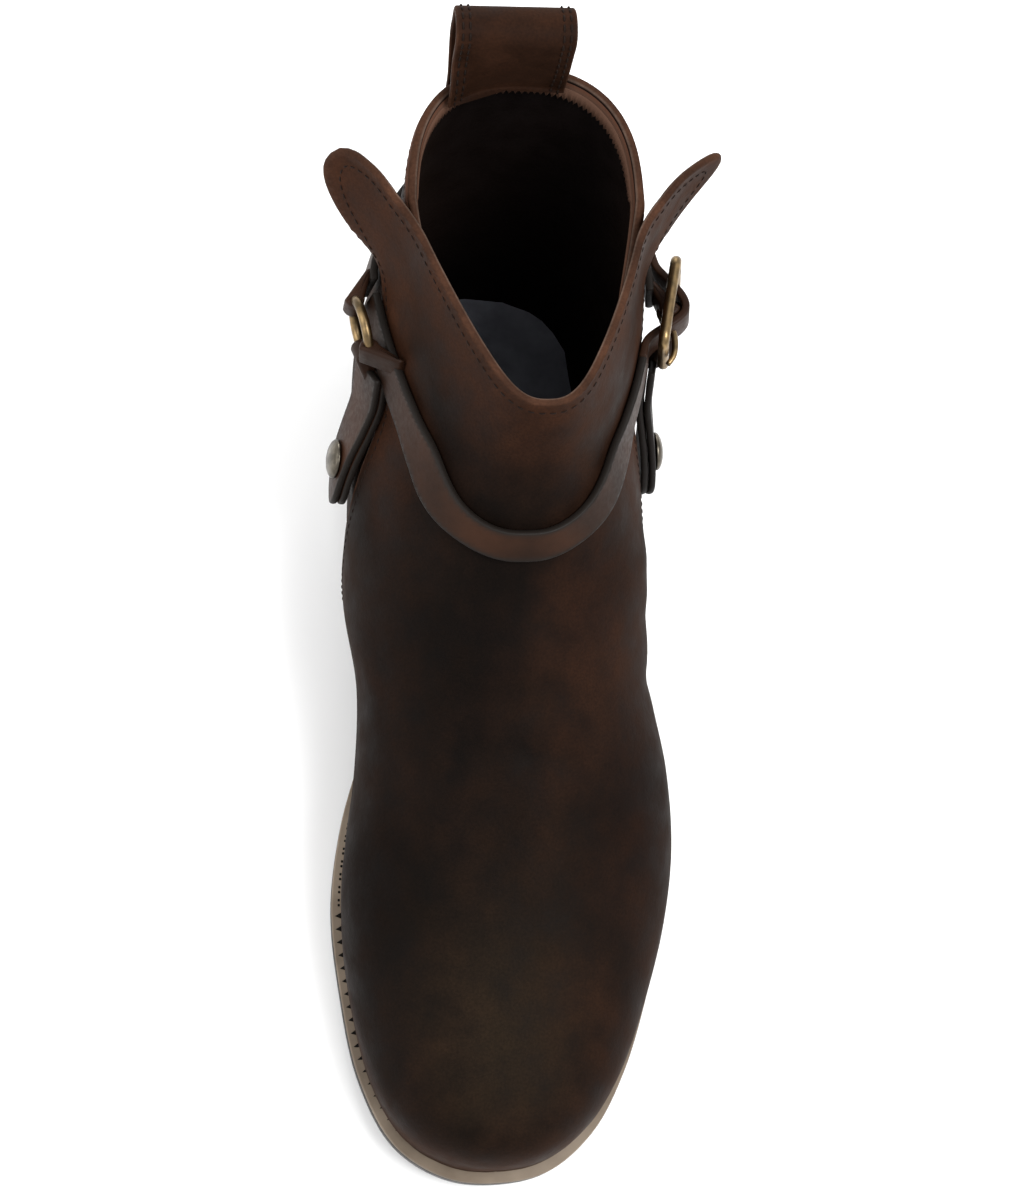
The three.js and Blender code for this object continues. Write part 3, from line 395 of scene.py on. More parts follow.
def wing_lean(p, spread, belly):
    """How far the free wings stand out: most a little below their top edge."""
    start, full, top = (height_up(WING_RISE[name]) for name in ("start", "full", "top"))
    hinge, tip = place_along(WING_RISE["hinge"]), place_along(WING_RISE["tip"])
    rise = smooth((p[..., 2] - start) / (full - start))
    below = np.clip((top - p[..., 2]) / (top - full), 0, 1)
    back = np.clip((p[..., 1] - hinge) / (tip - hinge), 0, None)
    return spread * rise * (1 + belly * below) * back ** WING_CURL


def surface_grid(lean):
    """Points and outward normals of the upper's surface: rows along it, columns around it."""
    at = section_at(np.linspace(0, LAST, GRID_ROWS))
    # The angles crowd towards the widest place, where a superellipse is drawn out
    angles = np.pi / 2 + np.linspace(-1, 1, ANGLE_STEPS) ** 3 * np.pi / 2
    outer = even_columns(half_ring(at, True, angles), HALF_COLUMNS + 1)
    inner = even_columns(half_ring(at, False, angles), HALF_COLUMNS + 1)
    if lean:
        outer[..., 0] += wing_lean(outer, WING_SPREAD_OUTER, WING_BELLY_OUTER)
        inner[..., 0] -= wing_lean(inner, WING_SPREAD_INNER, WING_BELLY_INNER)
    grid = np.concatenate([outer, inner[:, -2:0:-1]], axis=1)
    along = np.gradient(grid, axis=0)
    round_ = np.roll(grid, -1, axis=1) - np.roll(grid, 1, axis=1)
    normal = unit(np.cross(along, round_))
    normal[0] = normal[1]
    grid = grid + normal * crease_depth(grid)[..., None]
    return grid, normal


def grid_triangles(rows, columns):
    i, j = np.meshgrid(np.arange(rows - 1), np.arange(columns), indexing="ij")
    a = i * columns + j
    b = i * columns + (j + 1) % columns
    c, d = b + columns, a + columns
    return np.concatenate([np.stack([a, b, d], -1).reshape(-1, 3), np.stack([b, c, d], -1).reshape(-1, 3)])


# Cutting a triangle mesh along a line where a field is zero. A sheet's data columns are the
# place, the normal, how warm the colour is, the distance from the cut edge and how hazy it is.
WARM, EDGE, HAZE = 6, 7, 8
NEAR_ZERO = 0.02
FAR_OFF = 50.0


def clip(data, tris, field):
    """Keeps what lies where the field is positive. The segments of the cut come back too."""
    field = np.where(np.abs(field) < NEAR_ZERO, NEAR_ZERO, field)
    inside = field > 0
    count = inside[tris].sum(axis=1)
    extra, made, fresh, segments = [], {}, [], []

    def crossing(a, b):
        key = (a, b) if a < b else (b, a)
        if key not in made:
            share = field[key[0]] / (field[key[0]] - field[key[1]])
            extra.append(data[key[0]] * (1 - share) + data[key[1]] * share)
            made[key] = len(data) + len(extra) - 1
        return made[key]

    for a, b, c in tris[(count == 1) | (count == 2)].tolist():
        while inside[b] != inside[c]:
            a, b, c = b, c, a
        ab, ac = crossing(a, b), crossing(a, c)
        if inside[a]:
            fresh.append((a, ab, ac))
        else:
            fresh += [(ab, b, c), (ab, c, ac)]
        segments.append((ab, ac))
    data = np.vstack([data, extra]) if extra else data
    kept = tris[count == 3]
    tris = np.vstack([kept, fresh]) if fresh else kept
    return data, tris, segments


def cut_lines(data, tris, field):
    """The lines along which the field is zero, as ordered rows of data."""
    data, _, segments = clip(data, tris, field)
    neighbours = {}
    for a, b in segments:
        neighbours.setdefault(a, []).append(b)
        neighbours.setdefault(b, []).append(a)
    lines, seen = [], set()
    starts = [v for v, near in neighbours.items() if len(near) == 1] + list(neighbours)
    for start in starts:
        if start in seen:
            continue
        chain = [start]
        seen.add(start)
        while True:
            onward = [v for v in neighbours[chain[-1]] if v not in seen]
            if not onward:
                break
            chain.append(onward[0])
            seen.add(onward[0])
        if len(chain) > 3:
            lines.append(data[chain])
    return lines


def compact(data, tris):
    used, tris = np.unique(tris, return_inverse=True)
    return data[used], tris.reshape(-1, 3)


RIM_STEPS = 5


def thicken(data, tris, outside, inside, bulge):
    """A sheet between two offsets along its normals, with a rounded rim round its edges."""
    data, tris = compact(data, tris)
    count = len(data)
    points, normals = data[:, :3], data[:, 3:6]
    outer = points + normals * outside
    inner = points + normals * inside
    edges = {}
    for a, b, c in tris.tolist():
        for edge in ((a, b), (b, c), (c, a)):
            edges[edge] = True
    border = [edge for edge in edges if (edge[1], edge[0]) not in edges]
    facing = np.cross(points[tris[:, 1]] - points[tris[:, 0]], points[tris[:, 2]] - points[tris[:, 0]])
    turn_sign = np.sign(np.sum(facing * normals[tris[:, 0]]))
    sideways = np.zeros((count, 3))
    for a, b in border:
        out = np.cross(points[b] - points[a], normals[a])
        sideways[a] += out
        sideways[b] += out
    sideways = unit(sideways) * turn_sign
    faces = [tris, tris[:, ::-1] + count]
    verts = [outer, inner]
    rim = sorted({v for edge in border for v in edge})
    index = {v: k for k, v in enumerate(rim)}
    base = 2 * count
    swell = sideways * (bulge(data) if callable(bulge) else np.full(count, bulge))[:, None]
    middle, half = (outer[rim] + inner[rim]) / 2, (outer[rim] - inner[rim]) / 2
    for step in range(1, RIM_STEPS):
        angle = math.pi * step / RIM_STEPS
        verts.append(middle + half * math.cos(angle) + swell[rim] * math.sin(angle))

    def rim_vertex(v, step):
        if step == 0:
            return v
        if step == RIM_STEPS:
            return v + count
        return base + (step - 1) * len(rim) + index[v]

    walls = []
    for a, b in border:
        for step in range(RIM_STEPS):
            corners = ((a, step), (a, step + 1), (b, step + 1), (b, step))
            walls.append(tuple(rim_vertex(v, level) for v, level in corners))
    rim_mask = np.zeros(2 * count + (RIM_STEPS - 1) * len(rim))
    rim_mask[2 * count:] = 1
    pale = np.zeros(len(rim_mask))
    pale[2 * count + (RIM_STEPS - 2) * len(rim):] = 1
    columns = np.vstack([data, data] + [data[rim]] * (RIM_STEPS - 1))
    faces = np.vstack(faces).tolist() + walls
    return np.vstack(verts), faces, rim_mask, pale, columns


# Making Blender objects. Each finish gives a material and the slot that it stands for.
finishes = {}


def add_mesh(name, verts, faces, finish, node=None, attributes=None):
    mesh = bpy.data.meshes.new(name)
    mesh.from_pydata((np.asarray(verts, float) * MM).tolist(), [], faces)
    mesh.validate()
    for key, values in (attributes or {}).items():
        layer = mesh.attributes.new(key, "FLOAT", "POINT")
        layer.data.foreach_set("value", np.asarray(values, np.float32))
    obj = bpy.data.objects.new(name, mesh)
    bpy.context.scene.collection.objects.link(obj)
    bm = bmesh.new()
    bm.from_mesh(mesh)
    bmesh.ops.remove_doubles(bm, verts=bm.verts, dist=1e-6)
    bmesh.ops.recalc_face_normals(bm, faces=bm.faces)
    bm.to_mesh(mesh)
    bm.free()
    material, slot = finishes[finish]
    mesh.materials.append(material)
    for polygon in mesh.polygons:
        polygon.use_smooth = True
    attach(obj, "root")
    if node:
        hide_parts(node)


def join_rings(rings, closed_run=False, caps=True):
    """Faces through closed rings of equal count."""
    rings = [np.asarray(ring, float) for ring in rings]
    count = len(rings[0])
    verts = np.vstack(rings)
    faces = []
    runs = len(rings) if closed_run else len(rings) - 1
    for i in range(runs):
        k = (i + 1) % len(rings)
        for j in range(count):
            n = (j + 1) % count
            faces.append((i * count + j, i * count + n, k * count + n, k * count + j))
    if caps and not closed_run:
        for ring in (0, len(rings) - 1):
            hub = len(verts)
            verts = np.vstack([verts, rings[ring].mean(axis=0)])
            faces += [(hub, ring * count + j, ring * count + (j + 1) % count) for j in range(count)]
    return verts, faces


def several(parts):
    """Joins several (verts, faces) into one."""
    verts, faces, shift = [], [], 0
    for part_verts, part_faces in parts:
        verts.append(part_verts)
        faces += [tuple(v + shift for v in face) for face in part_faces]
        shift += len(part_verts)
    return np.vstack(verts), faces


def tube(points, radius, sides=12, closed=False):
    """A round bar along points; the radius may change along it."""
    points = np.asarray(points, float)
    radius = np.broadcast_to(radius, len(points))
    if closed:
        tangent = unit(np.roll(points, -1, axis=0) - np.roll(points, 1, axis=0))
    else:
        tangent = unit(np.gradient(points, axis=0))
    guide = np.array([0.0, 0.0, 1.0]) if abs(tangent[0][2]) < 0.9 else np.array([1.0, 0.0, 0.0])
    rings = []
    for point, run, r in zip(points, tangent, radius):
        across = unit(np.cross(run, guide))
        guide = np.cross(across, run)
        angles = np.arange(sides) * 2 * math.pi / sides
        rings.append(point + r * (np.cos(angles)[:, None] * across + np.sin(angles)[:, None] * guide))
    return join_rings(rings, closed_run=closed)


# Materials
def new_material(name):
    material = bpy.data.materials.new(name)
    material.use_nodes = True
    nodes, links = material.node_tree.nodes, material.node_tree.links
    return material, nodes, links, nodes["Principled BSDF"]


def noise_node(nodes, links, scale, detail=4.0, stretch=(1, 1, 1)):
    coords = nodes.new("ShaderNodeTexCoord")
    mapping = nodes.new("ShaderNodeMapping")
    mapping.inputs["Scale"].default_value = stretch
    noise = nodes.new("ShaderNodeTexNoise")
    noise.inputs["Scale"].default_value = scale
    noise.inputs["Detail"].default_value = detail
    links.new(coords.outputs["Object"], mapping.inputs["Vector"])
    links.new(mapping.outputs["Vector"], noise.inputs["Vector"])
    return noise


def ramp_node(nodes, links, source, stops):
    """A ramp with two stops, each a position and a colour."""
    ramp = nodes.new("ShaderNodeValToRGB")
    for element, (position, color) in zip(ramp.color_ramp.elements, stops):
        element.position = position
        element.color = (*color, 1)
    links.new(source, ramp.inputs["Fac"])
    return ramp.outputs["Color"]


def mix_node(nodes, links, factor, first, second, kind="MIX"):
    mix = nodes.new("ShaderNodeMix")
    mix.data_type = "RGBA"
    mix.blend_type = kind
    factor_in = mix.inputs[0]
    a_in, b_in = mix.inputs[6], mix.inputs[7]
    for socket, value in ((factor_in, factor), (a_in, first), (b_in, second)):
        if isinstance(value, bpy.types.NodeSocket):
            links.new(value, socket)
        elif isinstance(value, tuple):
            socket.default_value = (*value, 1)
        else:
            socket.default_value = value
    return mix.outputs[2]


def attribute_node(nodes, name):
    node = nodes.new("ShaderNodeAttribute")
    node.attribute_name = name
    return node.outputs["Fac"]


def add_bump(nodes, links, shader, layers):
    """Several heights added up as bumps: (socket, strength, distance in metres)."""
    normal = None
    for height, strength, distance in layers:
        bump = nodes.new("ShaderNodeBump")
        bump.inputs["Strength"].default_value = strength
        bump.inputs["Distance"].default_value = distance
        links.new(height, bump.inputs["Height"])
        if normal is not None:
            links.new(normal, bump.inputs["Normal"])
        normal = bump.outputs["Normal"]
    links.new(normal, shader.inputs["Normal"])


LINING_COLOR = (0.003, 0.0021, 0.0021)
PALE_EDGE = (0.085, 0.056, 0.042)


def nubuck_material(name, dark, middle, warm, edge, haze):
    """Oiled nubuck: dark where it is handled, warmer at the sides, lighter at its cut edges."""
    material, nodes, links, shader = new_material(name)
    cloud = noise_node(nodes, links, 24, 7, (1.25, 0.8, 1))
    patch = noise_node(nodes, links, 11, 4)
    mottle = noise_node(nodes, links, 95, 8)
    nap = noise_node(nodes, links, 1300, 3)
    grain = noise_node(nodes, links, 420, 4)
    base = ramp_node(nodes, links, cloud.outputs["Fac"], ((0.36, dark), (0.66, middle)))
    warmth = nodes.new("ShaderNodeMath")
    warmth.operation = "MULTIPLY_ADD"
    links.new(patch.outputs["Fac"], warmth.inputs[0])
    warmth.inputs[1].default_value = 1.5
    links.new(attribute_node(nodes, "warm"), warmth.inputs[2])
    shift = nodes.new("ShaderNodeMath")
    shift.operation = "SUBTRACT"
    shift.use_clamp = True
    links.new(warmth.outputs[0], shift.inputs[0])
    shift.inputs[1].default_value = 0.72
    color = mix_node(nodes, links, shift.outputs[0], base, warm)
    color = mix_node(nodes, links, attribute_node(nodes, "haze"), color, haze)
    color = mix_node(nodes, links, attribute_node(nodes, "rim"), color, edge)
    color = mix_node(nodes, links, attribute_node(nodes, "pale"), color, PALE_EDGE)
    color = mix_node(nodes, links, attribute_node(nodes, "lining"), color, LINING_COLOR)
    blotch = ramp_node(nodes, links, mottle.outputs["Fac"], ((0.32, (0.62,) * 3), (0.68, (1.3,) * 3)))
    color = mix_node(nodes, links, 1.0, color, blotch, "MULTIPLY")
    speck = ramp_node(nodes, links, nap.outputs["Fac"], ((0.3, (0.8,) * 3), (0.7, (1.2,) * 3)))
    color = mix_node(nodes, links, 1.0, color, speck, "MULTIPLY")
    links.new(color, shader.inputs["Base Color"])
    rough = ramp_node(nodes, links, mottle.outputs["Fac"], ((0.3, (0.55,) * 3), (0.7, (0.78,) * 3)))
    links.new(rough, shader.inputs["Roughness"])
    shader.inputs["Sheen Weight"].default_value = 0.02
    shader.inputs["Sheen Roughness"].default_value = 0.45
    shader.inputs["Sheen Tint"].default_value = (0.8, 0.45, 0.3, 1)
    shader.inputs["Specular IOR Level"].default_value = 0.05
    add_bump(nodes, links, shader, (
        (cloud.outputs["Fac"], 0.4, 0.0012),
        (mottle.outputs["Fac"], 0.3, 0.0005),
        (grain.outputs["Fac"], 0.3, 0.0003),
        (nap.outputs["Fac"], 0.3, 0.00015),
    ))
    return material


def leather_material(name, dark, light, roughness, coat, grain_scale, edge):
    """Plain leather, rubber or thread, with another colour at cut edges where one is given."""
    material, nodes, links, shader = new_material(name)
    cloud = noise_node(nodes, links, 40, 5)
    grain = noise_node(nodes, links, grain_scale, 4)
    color = ramp_node(nodes, links, cloud.outputs["Fac"], ((0.3, dark), (0.75, light)))
    if edge:
        color = mix_node(nodes, links, attribute_node(nodes, "rim"), color, edge)
    links.new(color, shader.inputs["Base Color"])
    low, high = roughness
    rough = ramp_node(nodes, links, grain.outputs["Fac"], ((0.3, (low,) * 3), (0.7, (high,) * 3)))
    links.new(rough, shader.inputs["Roughness"])
    shader.inputs["Coat Weight"].default_value = coat
    shader.inputs["Coat Roughness"].default_value = 0.3
    shader.inputs["Specular IOR Level"].default_value = 0.09
    add_bump(nodes, links, shader, (
        (cloud.outputs["Fac"], 0.2, 0.0006),
        (grain.outputs["Fac"], 0.4, 0.00025),
    ))
    return material


def metal_material(name, bright, tarnish, polish):
    """Metal that is rougher where it is tarnished; polish is the roughness where it is bright."""
    material, nodes, links, shader = new_material(name)
    cloud = noise_node(nodes, links, 260, 5)
    color = ramp_node(nodes, links, cloud.outputs["Fac"], ((0.35, tarnish), (0.65, bright)))
    links.new(color, shader.inputs["Base Color"])
    shader.inputs["Metallic"].default_value = 1.0
    stops = ((0.3, (polish + 0.15,) * 3), (0.7, (polish,) * 3))
    rough = ramp_node(nodes, links, cloud.outputs["Fac"], stops)
    links.new(rough, shader.inputs["Roughness"])
    add_bump(nodes, links, shader, ((cloud.outputs["Fac"], 0.12, 0.0002),))
    return material


finishes["nubuck"] = (nubuck_material(
    "oiled_nubuck", dark=(0.003, 0.0016, 0.001), middle=(0.0088, 0.0042, 0.0024),
    warm=(0.036, 0.0132, 0.006), edge=(0.042, 0.0185, 0.0105), haze=(0.015, 0.0102, 0.0056)), "nubuck")

LEATHER_COLUMNS = ("name", "slot", "dark", "light", "roughness", "coat", "grain_scale", "edge")
LEATHERS = (
    ("strap_leather", "strap_leather", (0.012, 0.0058, 0.0034), (0.043, 0.0175, 0.0088), (0.42, 0.58),
     0.03, 600, (0.012, 0.0095, 0.008)),
    ("dark_leather", "dark_leather", (0.008, 0.0048, 0.0036), (0.022, 0.0115, 0.0075), (0.45, 0.6),
     0.05, 600, (0.009, 0.007, 0.006)),
    # painted light: the insole's colour is lighter than its dark navy leather, to make up for the shade
    # inside the boot
    ("insole_leather", "insole_leather", (0.085, 0.088, 0.105), (0.24, 0.245, 0.285), (0.6, 0.78),
     0, 500, None),
    ("band_leather", "nubuck", (0.046, 0.019, 0.011), (0.115, 0.05, 0.03), (0.62, 0.78),
     0, 500, (0.1, 0.06, 0.042)),
    ("welt_leather", "welt_leather", (0.115, 0.088, 0.064), (0.24, 0.192, 0.145), (0.5, 0.66),
     0.03, 500, None),
    ("sole_leather", "sole_leather", (0.008, 0.007, 0.006), (0.02, 0.017, 0.014), (0.4, 0.55),
     0.15, 300, None),
    ("heel_rubber", "heel_rubber", (0.008, 0.008, 0.008), (0.015, 0.015, 0.015), (0.6, 0.75),
     0, 900, None),
    ("waxed_thread", "nubuck", (0.007, 0.0038, 0.0026), (0.014, 0.0075, 0.005), (0.6, 0.75),
     0, 900, None),
    # painted shade: near-black colour of the welt's notches and pricked holes
    ("hole_dark", "welt_leather", (0.003, 0.0025, 0.002), (0.006, 0.005, 0.004), (0.8, 0.9),
     0, 900, None),
)
for row in LEATHERS:
    leather = dict(zip(LEATHER_COLUMNS, row))
    slot = leather.pop("slot")
    finishes[leather["name"]] = (leather_material(**leather), slot)

METAL_COLUMNS = ("name", "slot", "bright", "tarnish", "polish")
METALS = (
    ("antique_brass", "brass", (0.3, 0.205, 0.1), (0.11, 0.078, 0.042), 0.28),
    ("aged_nickel", "nickel", (0.15, 0.132, 0.105), (0.055, 0.048, 0.038), 0.26),
)
for row in METALS:
    metal = dict(zip(METAL_COLUMNS, row))
    slot = metal.pop("slot")
    finishes[slot] = (metal_material(**metal), slot)

# Where the hide's colour is warmer or hazier, with spreads in millimetres
WARM_LOW = {"height": 5, "spread": 12, "strength": 0.5}
WARM_STRAP = {"spread": 22, "strength": 0.3}
WARM_EDGE = {"inset": 3, "spread": 20, "strength": 0.62, "from": 0.25, "fade": 30}
HAZY_TOE = {"across": -4, "along": 0.86, "half_width": 26, "half_length": 34, "strength": 0.55}


def bell(value, spread):
    return np.exp(-(value / spread) ** 2)


# Sheets cut from the upper's surface
def grid_data(grid, normal):
    points, normals = grid.reshape(-1, 3), normal.reshape(-1, 3)
    tris = grid_triangles(*grid.shape[:2])
    hub = len(points)
    columns = grid.shape[1]
    points = np.vstack([points, grid[0].mean(axis=0)])
    normals = np.vstack([normals, (0.0, -1.0, 0.0)])
    fan = [(hub, (j + 1) % columns, j) for j in range(columns)]
    x, y, z = points.T
    low = WARM_LOW["strength"] * bell(z - feather_height(y) - WARM_LOW["height"], WARM_LOW["spread"])
    near_band = bell(z - on_curve(strap_middle, y), WARM_STRAP["spread"])
    warm = low + WARM_STRAP["strength"] * np.abs(normals[:, 0]) * near_band
    haze = HAZY_TOE["strength"] * np.clip(normals[:, 2], 0, 1)
    haze *= bell(x - HAZY_TOE["across"], HAZY_TOE["half_width"])
    haze *= bell(y - place_along(HAZY_TOE["along"]), HAZY_TOE["half_length"])
    data = np.column_stack([points, normals, warm, np.full(len(points), FAR_OFF), haze])
    return data, np.vstack([tris, fan])


def cut_sheet(data, tris, fields):
    """Clips by several fields, each a function of the data, and notes the edge distance."""
    for field in fields:
        data, tris, _ = clip(data, tris, field(data))
    edge = np.min([np.abs(field(data)) for field in fields], axis=0)
    data = data.copy()
    data[:, EDGE] = edge
    return compact(data, tris)


def add_sheet(name, sheet, outside, inside, finish, node, bulge, edge_width=0.9):
    data, tris = sheet
    verts, faces, rim, pale, columns = thicken(data, tris, outside, inside, bulge)
    edge = np.maximum(rim, np.clip(1 - columns[:, EDGE] / edge_width, 0, 1) ** 2)
    lining = np.zeros(len(verts))
    lining[len(data):2 * len(data)] = 1
    attributes = {
        "warm": columns[:, WARM], "rim": edge, "pale": pale, "lining": lining, "haze": columns[:, HAZE],
    }
    add_mesh(name, verts, faces, finish, node, attributes)


strap_middle = side_line([(row[0], (row[1] + row[2]) / 2) for row in STRAP_EDGES])
strap_upper = side_line([(row[0], row[1]) for row in STRAP_EDGES])
strap_lower = side_line([(row[0], row[2]) for row in STRAP_EDGES])

plain_grid, plain_normal = surface_grid(False)
wing_grid, wing_normal = surface_grid(True)
plain_data, plain_tris = grid_data(plain_grid, plain_normal)
wing_data, wing_tris = grid_data(wing_grid, wing_normal)
SUNK_FOOT = 0.5


def above_feather(data):
    return data[:, 2] - feather_height(data[:, 1]) + SUNK_FOOT


def below_collar(data):
    return line_distance(collar_curve, data[:, 1], data[:, 2])


def inside_vamp(data):
    return line_distance(vamp_curve, data[:, 1], data[:, 2])


quarters = cut_sheet(plain_data, plain_tris, [above_feather, below_collar])
add_sheet("quarters", quarters, 0.0, -WALL, "nubuck", "upper", bulge=0.9)


def vamp_bulge(data):
    """Full along the lapped seam, slight where the edge meets the quarter's own at the collar."""
    return np.where(below_collar(data) < 1.0, 0.35, 1.15)


vamp = cut_sheet(wing_data, wing_tris, [above_feather, inside_vamp])
near_edge = bell(vamp[0][:, EDGE] - WARM_EDGE["inset"], WARM_EDGE["spread"])
high_up = smooth((vamp[0][:, 2] - height_up(WARM_EDGE["from"])) / WARM_EDGE["fade"])
vamp[0][:, WARM] += WARM_EDGE["strength"] * near_edge * high_up
add_sheet("vamp", vamp, VAMP_STEP, 1 - VAMP_SINK, "nubuck", "upper", bulge=vamp_bulge)


def line_frames(line, closed, spacing):
    """Even points along a cut line, with the sheet's normal and the line's run at each."""
    if closed:
        line = np.vstack([line, line[:1]])
    line = resample(line, spacing)
    if closed:
        line = line[:-1]
        run = unit(np.roll(line[:, :3], -1, axis=0) - np.roll(line[:, :3], 1, axis=0))
    else:
        run = unit(np.gradient(line[:, :3], axis=0))
    normal = unit(line[:, 3:6] - run * np.sum(line[:, 3:6] * run, axis=1)[:, None])
    return line[:, :3], normal, run


# A stitch: the place along it and the thickness there, as shares of its length and radius
STITCH_PROFILE = ((-0.5, 0.25), (-0.36, 0.85), (0.0, 1.0), (0.36, 0.85), (0.5, 0.25))
STITCH_RISE = 0.55
STITCH_ARCH = 2.6


def stitches(line, offset, pitch, length, radius, closed=False):
    """Short threads lying along a line on a sheet, sunk in at their ends."""
    points, normal, run = line_frames(line, closed, pitch)
    across = np.cross(normal, run)
    parts = []
    angles = np.arange(6) * math.pi / 3
    for point, up, ahead, side in zip(points, normal, run, across):
        rings = []
        for place, size in STITCH_PROFILE:
            arch = offset + radius * (STITCH_RISE - STITCH_ARCH * place * place)
            middle = point + ahead * place * length + up * arch
            circle = np.cos(angles)[:, None] * side + np.sin(angles)[:, None] * up
            rings.append(middle + circle * radius * size)
        parts.append(join_rings(rings))
    return parts


def longest(lines):
    return max(lines, key=len)


# Collar: a rolled band over the edge and a pinked facing inside it. The profiles run out from
# the upper's surface and down from the collar line.
BAND_PROFILE = (
    (0.45, 4.6), (0.5, 3.0), (0.48, 1.4), (0.2, 0.1), (-0.5, -0.75), (-1.3, -1.05), (-2.1, -0.75),
    (-2.8, 0.1), (-3.1, 1.2), (-3.12, 1.9), (-3.0, 2.6), (-2.4, 2.6), (-2.2, 1.8), (-1.3, 0.6),
    (-0.4, 1.8), (-0.2, 4.6),
)
BAND_INSET = 0.6
BAND_SPACING = 1.2
BAND_PALE_INSIDE = -2.9
BAND_SEAM = 4.4
PINK_STEP = 0.5
PINK_PITCH = 4
PINK_DEPTH = 2.0
FACING_DEPTH = 5.2
SEAM_INSET = 3.4


def collar_rings(spacing, profile_at):
    """A profile set at even points along the collar."""
    line = longest(cut_lines(*quarters, below_collar(quarters[0]) - BAND_INSET))
    points, normal, run = line_frames(line, True, spacing)
    down = np.cross(run, normal)
    down *= np.sign(-down[:, 2:3] + 1e-9)
    return [
        [point + n * out + d * drop for out, drop in profile_at(k)]
        for k, (point, n, d) in enumerate(zip(points, normal, down))
    ]


def facing_profile(k):
    depth = FACING_DEPTH + PINK_DEPTH * abs((k % PINK_PITCH) / PINK_PITCH * 2 - 1)
    return (-2.7, 1.6), (-3.45, 1.9), (-3.6, depth), (-2.7, depth)


band_rings = collar_rings(BAND_SPACING, lambda k: BAND_PROFILE)
band_verts, band_faces = join_rings(band_rings, closed_run=True)
band_rim = np.tile([0.5 if out < BAND_PALE_INSIDE else 0.0 for out, drop in BAND_PROFILE], len(band_rings))
add_mesh("collar_band", band_verts, band_faces, "band_leather", None, {"rim": band_rim})
facing_verts, facing_faces = join_rings(collar_rings(PINK_STEP, facing_profile), closed_run=True)
facing_rim = np.full(len(facing_verts), 0.45)
add_mesh("collar_facing", facing_verts, facing_faces, "band_leather", None, {"rim": facing_rim})

# Seams sewn along the vamp's edge and under the collar band
seam_parts = []
for line in cut_lines(*vamp, inside_vamp(vamp[0]) - SEAM_INSET):
    seam_parts += stitches(line, offset=VAMP_STEP - 0.08, pitch=2.9, length=2.0, radius=0.27)
band_seam = longest(cut_lines(*quarters, below_collar(quarters[0]) - BAND_SEAM))
seam_parts += stitches(band_seam, offset=0.36, pitch=2.6, length=1.9, radius=0.22, closed=True)


# Frames on the side of the boot: x to the toe along the strap and z outwards. So y runs
# upwards on the inner side and downwards on the outer side.
SEARCH_REACH = 8


def on_surface(side, y, z):
    """The point and normal of the upper's side at a place seen from the side."""
    shell = plain_tris[:-plain_grid.shape[1]]
    middle = plain_data[shell, 0].mean(axis=1)
    gap_y = np.abs(plain_data[shell, 1].mean(axis=1) - y)
    gap_z = np.abs(plain_data[shell, 2].mean(axis=1) - z)
    best = None
    for a, b, c in shell[(gap_y + gap_z < SEARCH_REACH) & (middle * side > 0)]:
        p, q, r = plain_data[a, :3], plain_data[b, :3], plain_data[c, :3]
        area = (q[1] - p[1]) * (r[2] - p[2]) - (r[1] - p[1]) * (q[2] - p[2])
        if abs(area) < 1e-9:
            continue
        u = ((y - p[1]) * (r[2] - p[2]) - (r[1] - p[1]) * (z - p[2])) / area
        v = ((q[1] - p[1]) * (z - p[2]) - (y - p[1]) * (q[2] - p[2])) / area
        if u >= -1e-6 and v >= -1e-6 and u + v <= 1 + 1e-6:
            point = p + u * (q - p) + v * (r - p)
            n_a, n_b, n_c = plain_data[[a, b, c], 3:6]
            best = (point, unit(n_a * (1 - u - v) + n_b * u + n_c * v))
    return best


def side_frame(side, y, z, offset):
    point, normal = on_surface(side, y, z)
    run = np.array([0.0, -1.0, 0.0])
    run = unit(run - normal * (run @ normal))
    matrix = np.eye(4)
    matrix[:3] = np.column_stack([run, np.cross(normal, run), normal, point + normal * offset])
    return matrix


def turned(matrix, degrees, axis):
    return matrix @ np.array(Matrix.Rotation(math.radians(degrees), 4, axis))


def moved(matrix, x=0.0, y=0.0, z=0.0):
    return matrix @ np.array(Matrix.Translation((x, y, z)))


def to_frame(matrix, points):
    return np.asarray(points, float) @ matrix[:3, :3].T + matrix[:3, 3]


LAYER_IN = VAMP_STEP + 0.5
LAYER_OUT = LAYER_IN + STRAP
TAB_OUT = LAYER_IN + 2 * STRAP
RING_Y, RING_Z = place_along(0.19), height_up(0.6)
BUCKLE_Y, BUCKLE_Z = place_along(0.174), height_up(0.604)
RING_RADIUS = 9.0
RING_WIRE = 1.5
RING_TILT = 12
RING_LIFT = 2.0
HALF_LONG = 14.0
HALF_WIDE = 9.5
BUCKLE_WIRE = 1.7
BUCKLE_TILT = 6
BUCKLE_LIFT = 3.0
FOLD = 1.3
FOLD_REACH = 8.0
FOLD_BEVEL = 1.1
BEVEL_STEPS = 4
STRIP_START = 4.5
FRONT_STRIP_PAST = 8.0
TAB_LENGTH = 56.0
TAB_WIDTH = 14.0

ring_offset = LAYER_OUT + GAP + RING_WIRE + RING_LIFT
buckle_offset = LAYER_OUT + GAP + BUCKLE_WIRE + BUCKLE_LIFT
ring_frame = turned(side_frame(-1, RING_Y, RING_Z, ring_offset), RING_TILT, "X")
buckle_frame = turned(side_frame(1, BUCKLE_Y, BUCKLE_Z, buckle_offset), BUCKLE_TILT, "Y")


def level_at(side, matrix, x, offset):
    """Height in a frame of a layer lying at an offset over the upper."""
    tip = to_frame(matrix, [x, 0, 0])
    point, normal = on_surface(side, tip[1], tip[2])
    return float((np.linalg.inv(matrix) @ np.append(point + normal * offset, 1))[2])


